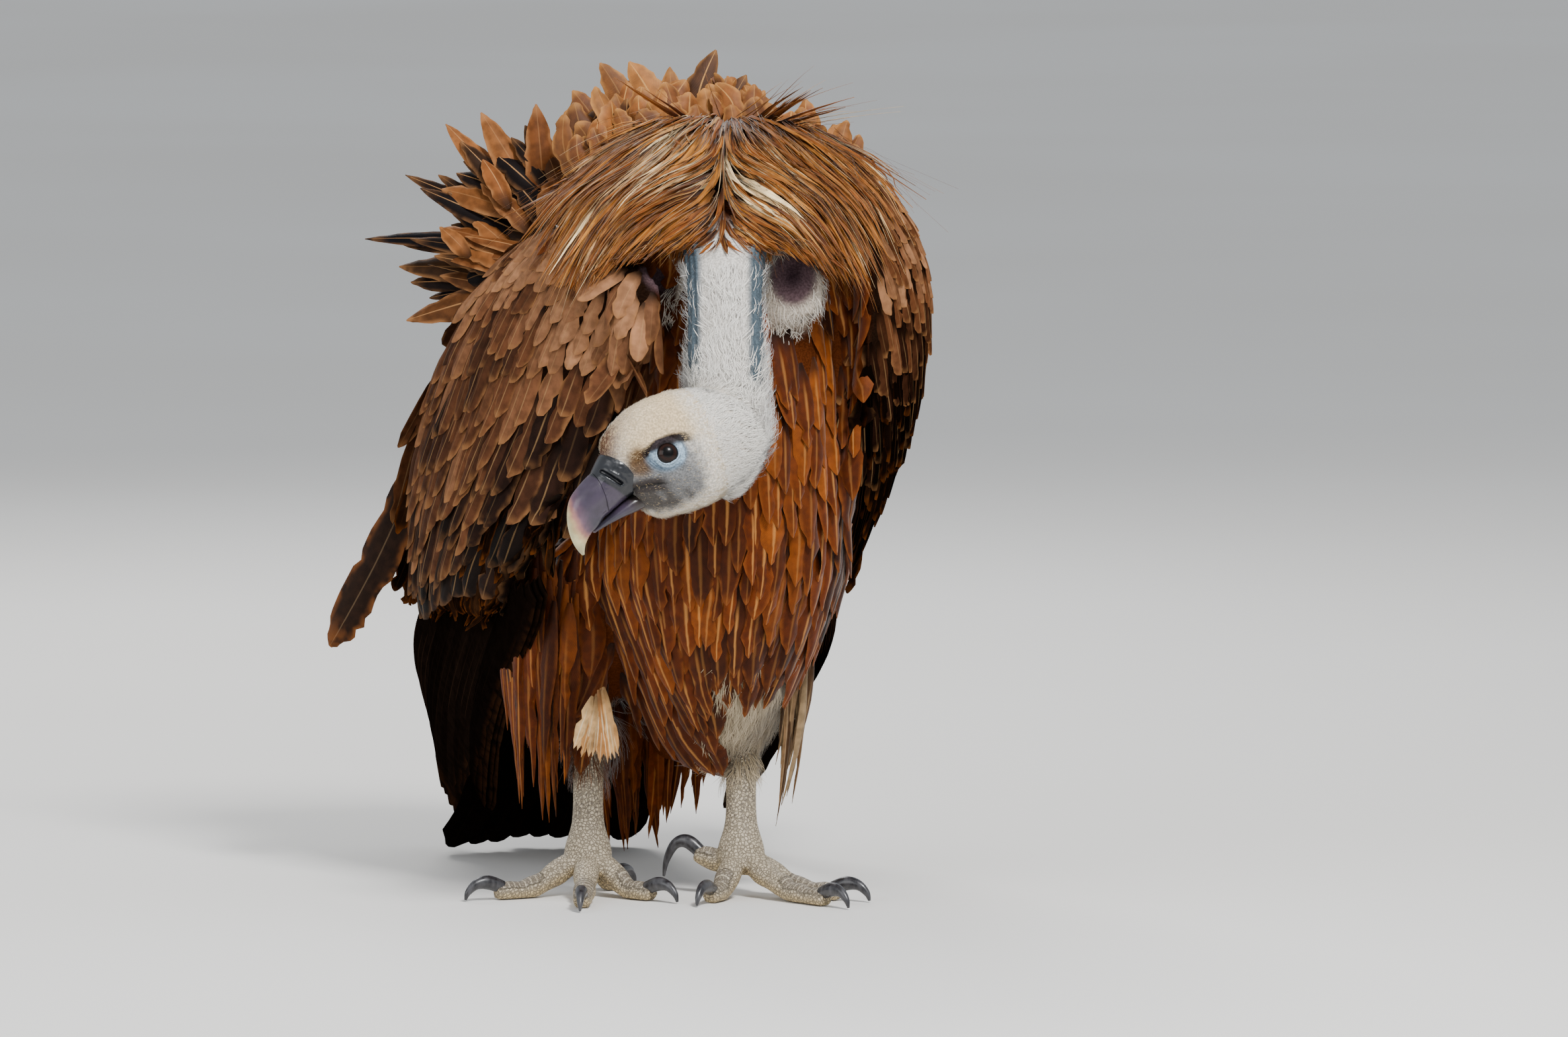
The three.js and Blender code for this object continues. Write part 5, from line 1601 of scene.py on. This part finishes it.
def down_material(name, code, shade="8d8577"):
    shader = Shader(name)
    length = shader.node("ShaderNodeSeparateXYZ", {0: shader.attribute("vane", "Vector")}, output=1)
    chance = shader.node("ShaderNodeSeparateXYZ", {0: shader.attribute("vane", "Vector")}, output=2)
    base = shader.mix(shader.attribute("tone"), colour(shade), colour(code))
    base = shader.mix(shader.band(length, 0.0, 0.6, 0.5, 0.0), base, colour(shade))
    value = shader.math("MULTIPLY_ADD", chance, 0.25, 0.86)
    share = shader.node("ShaderNodeCombineColor", {0: value, 1: value, 2: value})
    base = shader.mix(1.0, base, share, "MULTIPLY")
    return shader.finish(base, 0.9, Specular_IOR_Level=0.15, Sheen_Weight=0.5, Sheen_Roughness=0.5)


def tufts(name, surface, roots, normals, flow, length, width, lift, material, tone, rings=4, seed=90,
          stray=0.8, replaces=()):
    """Fine down: three-sided strands that lean with the lie of the coat."""
    rng = np.random.default_rng(seed)
    at = design(roots)
    clump = np.stack([wobble(at, 5.0, 40 + k) for k in range(3)], axis=1)
    way = flow(at) + stray * clump + stray * 0.25 * rng.normal(size=roots.shape)
    way = unit(way - normals * np.sum(way * normals, axis=1, keepdims=True))
    length = np.broadcast_to(length, len(roots))[:, None] * MM * (0.7 + 0.6 * rng.random((len(roots), 1)))
    lift = np.broadcast_to(lift, len(roots))[:, None] * (0.6 + 0.8 * rng.random((len(roots), 1)))
    lines = []
    for t in np.linspace(0, 1, rings):
        rise = np.sin(t * math.pi * 0.62) * lift
        lines.append(roots - normals * 0.0006 + way * length * t + normals * rise * length)
    made = vanes(name, np.stack(lines, axis=1), normals, width, material, columns=2, thick=width * 0.6,
                 camber=0.0, rise=0.3, point=0.35, sharp=1.2, blunt=0.9, ragged=0.0, tone=tone,
                 stem=0.8, seed=seed, replaces=replaces, crowd=1.0)
    soft = np.repeat(normals, rings * 3, axis=0) * 0.8 + mesh_normals(made) * 0.2
    made.data.normals_split_custom_set_from_vertices(unit(soft))
    return made


def grow_head_down(skin):
    """Short velvet on the crown and cheeks, longer and white on the nape, and none on the bare face."""
    rng = np.random.default_rng(92)
    pool, normals = head_samples(skin, 90000, rng)
    local = head_frame(design(pool))
    forward, left, up = local.T
    around = np.hypot(forward - 22.5, (up - 15) * 1.05)
    soft = 4 * wobble(local, 9, 3)
    bare = (forward > -10 + soft) & (up < 17) & (up > -27 + soft) & (around < 60) & (np.abs(left) > 8)
    eye = (around < 14.5) & (np.abs(left) > 12)
    sparse = (rng.random(len(pool)) < 0.15 + 0.6 * step(10, -10, forward)) & (around > 19)
    keep = (forward < 57 + 5 * (up > 18)) & ~eye & (~bare | sparse)
    roots, normals, local = pool[keep][:26000], normals[keep][:26000], local[keep][:26000]
    back = step(0, -40, local[:, 0])
    length = 3.2 + 4.0 * back + 1.5 * step(-20, -40, local[:, 2])
    tone = 0.78 + 0.22 * step(30, -30, local[:, 0])
    crown = local[:, 0] > -14
    for name, mine, material in (
        ("crown_down", crown, down_material("cream_down", "e0c79c", "a3875a")),
        ("nape_down", ~crown, down_material("white_nape_down", "f3eee4", "cdc5b8")),
    ):
        tufts(name, skin, roots[mine], normals[mine], flow_head, length[mine], 0.42, 0.28, material,
              tone[mine], rings=2 if name == "crown_down" else 3, seed=93)


def head_samples(skin, count, rng):
    """Random points of the skin's head alone."""
    centre = skin.points[skin.faces].mean(axis=1)
    local = head_frame(design(centre))
    on_head = np.linalg.norm(local / (1.45, 1, 1.3), axis=1) < 50
    faces = np.flatnonzero(on_head)
    a, b, c = (skin.points[skin.faces[faces, k]] for k in range(3))
    area = np.linalg.norm(np.cross(b - a, c - a), axis=1)
    face = rng.choice(len(area), count, p=area / area.sum())
    u, v = rng.random((2, count, 1))
    over = u + v > 1
    u, v = np.where(over, 1 - u, u), np.where(over, 1 - v, v)
    return a[face] + (b[face] - a[face]) * u + (c[face] - a[face]) * v, skin.normals[faces[face]]


def grow_neck_down(skin):
    """Shaggy white down on the neck, with bare folds left either side of its front strip."""
    def wanted(at, normal):
        off = np.abs(at[:, 0] - 46.5)
        bald = (at[:, 2] > 392) & (off > 13.5) & (off < 27.5) & (normal[:, 1] < 0.3)
        thin = np.random.default_rng(101).random(len(at)) < 0.05 + 0.5 * step(430, 385, at[:, 2])
        off_head = np.linalg.norm(head_frame(at) / (1.45, 1, 1.3), axis=1) > 43
        return ~off_neck(at, 36) & (at[:, 2] < 482) & off_head & (~bald | thin) & (at[:, 1] < -60)

    roots, normals = scatter(skin, 260000, wanted, 0.85, seed=102)
    roots, normals = roots[:9600], normals[:9600]
    at = design(roots)
    length = 9.0 + 4 * step(440, 380, at[:, 2])
    tufts("neck_down", skin, roots, normals, flow_neck, length, 0.6, 0.42,
          down_material("white_neck_down", "f2eee6", "c0b8ad"),
          0.85 + 0.15 * wobble(at, 12, 3), rings=4, seed=103)


def grow_leg_down(skin):
    """Downy thighs over the feet."""
    def flow(at):
        return np.stack([0.15 * wobble(at, 30, 2), 0.1 + 0 * at[:, 0], -np.ones(len(at))], axis=1)

    for side, inner, outer, top, code, shade in (("left", 28, 112, 196, "cdbb9c", "7a6648"),
                                                 ("right", -104, -22, 150, "6b3f1c", "33190a")):
        def wanted(at, normal):
            leg = (at[:, 0] > inner) & (at[:, 0] < outer) & (at[:, 2] > 92) & (at[:, 1] < 40)
            return leg & (at[:, 2] < top)
        gap, most = (0.95, 7500) if side == "left" else (1.9, 3000)
        roots, normals = scatter(skin, 220000, wanted, gap, seed=110)
        roots, normals = roots[:most], normals[:most]
        at = design(roots)
        tufts("thigh_down_" + side, skin, roots, normals, flow, 19 + 7 * wobble(at, 25, 3), 0.55, 0.2,
              down_material("thigh_down_" + side, code, shade),
              0.6 + 0.4 * wobble(at, 20, 1), rings=4, seed=111, stray=0.45)


def build_trousers():
    """The long feathers that hang outside each thigh."""
    rufous = feather_material("trouser_rufous", RUFOUS, shaft="bd7c3c", shaft_share=0.6, shaft_width=0.25,
                              edge="7a3f12", edge_share=0.5, barbs=16, gloss=0.1, sheen=0.03)
    pale = feather_material("trouser_pale", [(0.0, "2a1a10"), (0.5, "5d4128"), (1.0, "a58b68")],
                            shaft="b89a70", shaft_share=0.5, shaft_width=0.25, edge="8c6d48", edge_share=0.4,
                            barbs=14, gloss=0.1, sheen=0.03)
    plans = {
        "right": ([[-118, -6, 262], [-106, -24, 284], [-94, -40, 254], [-66, -48, 232]],
                  [[-112, 34, 96], [-108, 24, 62], [-94, 10, 52], [-76, -2, 78]], rufous, 62, 15,
                  (-0.5, -0.85, 0), "rufous_plumage", 0.4),
        "left": ([[84, -34, 200], [104, -14, 205], [112, 12, 205]],
                 [[78, 10, 84], [86, 20, 46], [94, 34, 72]], pale, 22, 8,
                 (0.6, -0.8, 0), "white_down", 0.5),
    }
    for side, (roots, tips, material, count, width, face, slot, tone) in plans.items():
        rng = np.random.default_rng(120 + len(side))
        share = rng.random(count)
        start = along(roots, share) + rng.normal(size=(count, 3)) * (3, 5, 16)
        end = along(tips, share) + rng.normal(size=(count, 3)) * (4, 5, 6)
        end = start + (end - start) * (0.45 + 0.55 * rng.random((count, 1)) ** 0.7)
        start[:, 2] = np.minimum(start[:, 2], max(r[2] for r in roots) + 10)
        lines, outs = arcs(start, end, np.array(face) + rng.normal(size=(count, 3)) * 0.15,
                           bow=3 + 4 * rng.random(count), rings=12)
        vanes("trousers_" + side, lines, outs, width * (0.75 + 0.5 * rng.random(count)), material,
              columns=5, camber=0.35, thick=0.9, rise=0.4, point=0.35, sharp=1.5, blunt=0.85, ragged=0.25,
              tone=np.clip(tone + 0.25 * rng.normal(size=count), 0, 1), seed=121, replaces=["trouser_" + side])


def build_under_tail():
    """The long soft feathers that hang from the belly between the legs."""
    rng = np.random.default_rng(123)
    count = 60
    share = rng.random(count)
    start = along([[-58, 44, 168], [-20, 52, 172], [20, 56, 176], [44, 58, 172]], share)
    end = along([[-44, 66, 26], [-18, 74, 24], [8, 78, 40], [34, 80, 82]], share)
    start += rng.normal(size=(count, 3)) * (3, 8, 8)
    end = start + (end - start) * (0.5 + 0.5 * rng.random((count, 1)) ** 0.6) + rng.normal(size=(count, 3)) * (4, 4, 3)
    lines, outs = arcs(start, end, np.array([0, -1, 0]) + rng.normal(size=(count, 3)) * 0.2, bow=5, rings=12)
    material = feather_material("under_tail_rufous", RUFOUS, shaft="a86a30", shaft_share=0.5, shaft_width=0.25,
                                edge="6b3811", edge_share=0.5, barbs=16, gloss=0.05, sheen=0.0)
    vanes("under_tail_feathers", lines, outs, 14 * (0.75 + 0.5 * rng.random(count)), material,
          columns=5, camber=0.35, thick=0.9, rise=0.4, point=0.4, sharp=1.5, blunt=0.85, ragged=0.25,
          tone=np.clip(0.25 + 0.2 * rng.normal(size=count), 0, 1), seed=124)


def build_thigh_fan():
    """The cream plumes that fan out under the right thigh."""
    rng = np.random.default_rng(125)
    share = np.linspace(0, 1, 13)[:, None]
    start = np.array([-50.0, -50.0, 156.0]) + share * (5, 0, 4) + rng.normal(size=(13, 3)) * 1.5
    end = np.array([-68.0, -54.0, 116.0]) + share * (34, 2, -6)
    end[:, 2] -= 12 * np.sin(math.pi * share[:, 0]) * rng.random(13)
    material = feather_material("cream_fan", [(0.0, "8a4d1c"), (0.6, "b98145"), (1.0, "dcb983")], shaft="f0dcb4",
                                shaft_share=0.8, shaft_width=0.2, edge="d9b27a", edge_share=0.5, barbs=14)
    lines, outs = arcs(start, end, (0, -1, 0.1), bow=5, rings=11)
    vanes("thigh_fan", lines, outs, 9, material, columns=5, camber=0.3, thick=0.9, rise=0.45,
          point=0.5, sharp=1.8, blunt=0.8, ragged=0.3, tone=0.35 + 0.5 * rng.random(13), seed=126)


def grow_crop_down(skin):
    """White down round the bare hollows beside the neck."""
    def wanted(at, normal):
        near = np.zeros(len(at), bool)
        for hollow, width, _ in CROP_HOLLOWS:
            reach = np.linalg.norm((at - hollow) / (1, 1.6, 1.25), axis=1) / width
            near |= (reach > 0.85) & (reach < 1.75) & (at[:, 0] > 0)
        band = np.linalg.norm((at - CROP_BAND) / (11, 30, 34), axis=1) < 1
        return (near | band) & (at[:, 1] < -50) & off_neck(at, 33)

    def flow(at):
        return np.stack([0.5 * wobble(at, 15, 2), -0.2 + 0 * at[:, 0], -np.ones(len(at))], axis=1)

    roots, normals = scatter(skin, 160000, wanted, 1.2, seed=140)
    tufts("crop_down", skin, roots, normals, flow, 10, 0.6, 0.3, down_material("crop_down", "efe6d8", "a3937f"),
          0.75 + 0.25 * wobble(design(roots), 9, 1), rings=4, seed=141)


# ---- The bird --------------------------------------------------------------------------------------

skin = build_skin()
build_eyes()
build_cere()
build_upper_bill()
build_lower_bill()
build_claws()
skin_surface = Surface(skin)
grow_breast(skin_surface)
grow_back(skin_surface)
for wing_side in ("right", "left"):
    wing_cover(skin_surface, wing_side)
grow_frayed_coverts(skin_surface)
build_flight_feathers()
build_tail()
grow_ruff()
build_crest()
build_scapulars()
build_loose_quill()
grow_head_down(skin_surface)
grow_neck_down(skin_surface)
grow_leg_down(skin_surface)
build_trousers()
build_under_tail()
build_thigh_fan()
grow_crop_down(skin_surface)
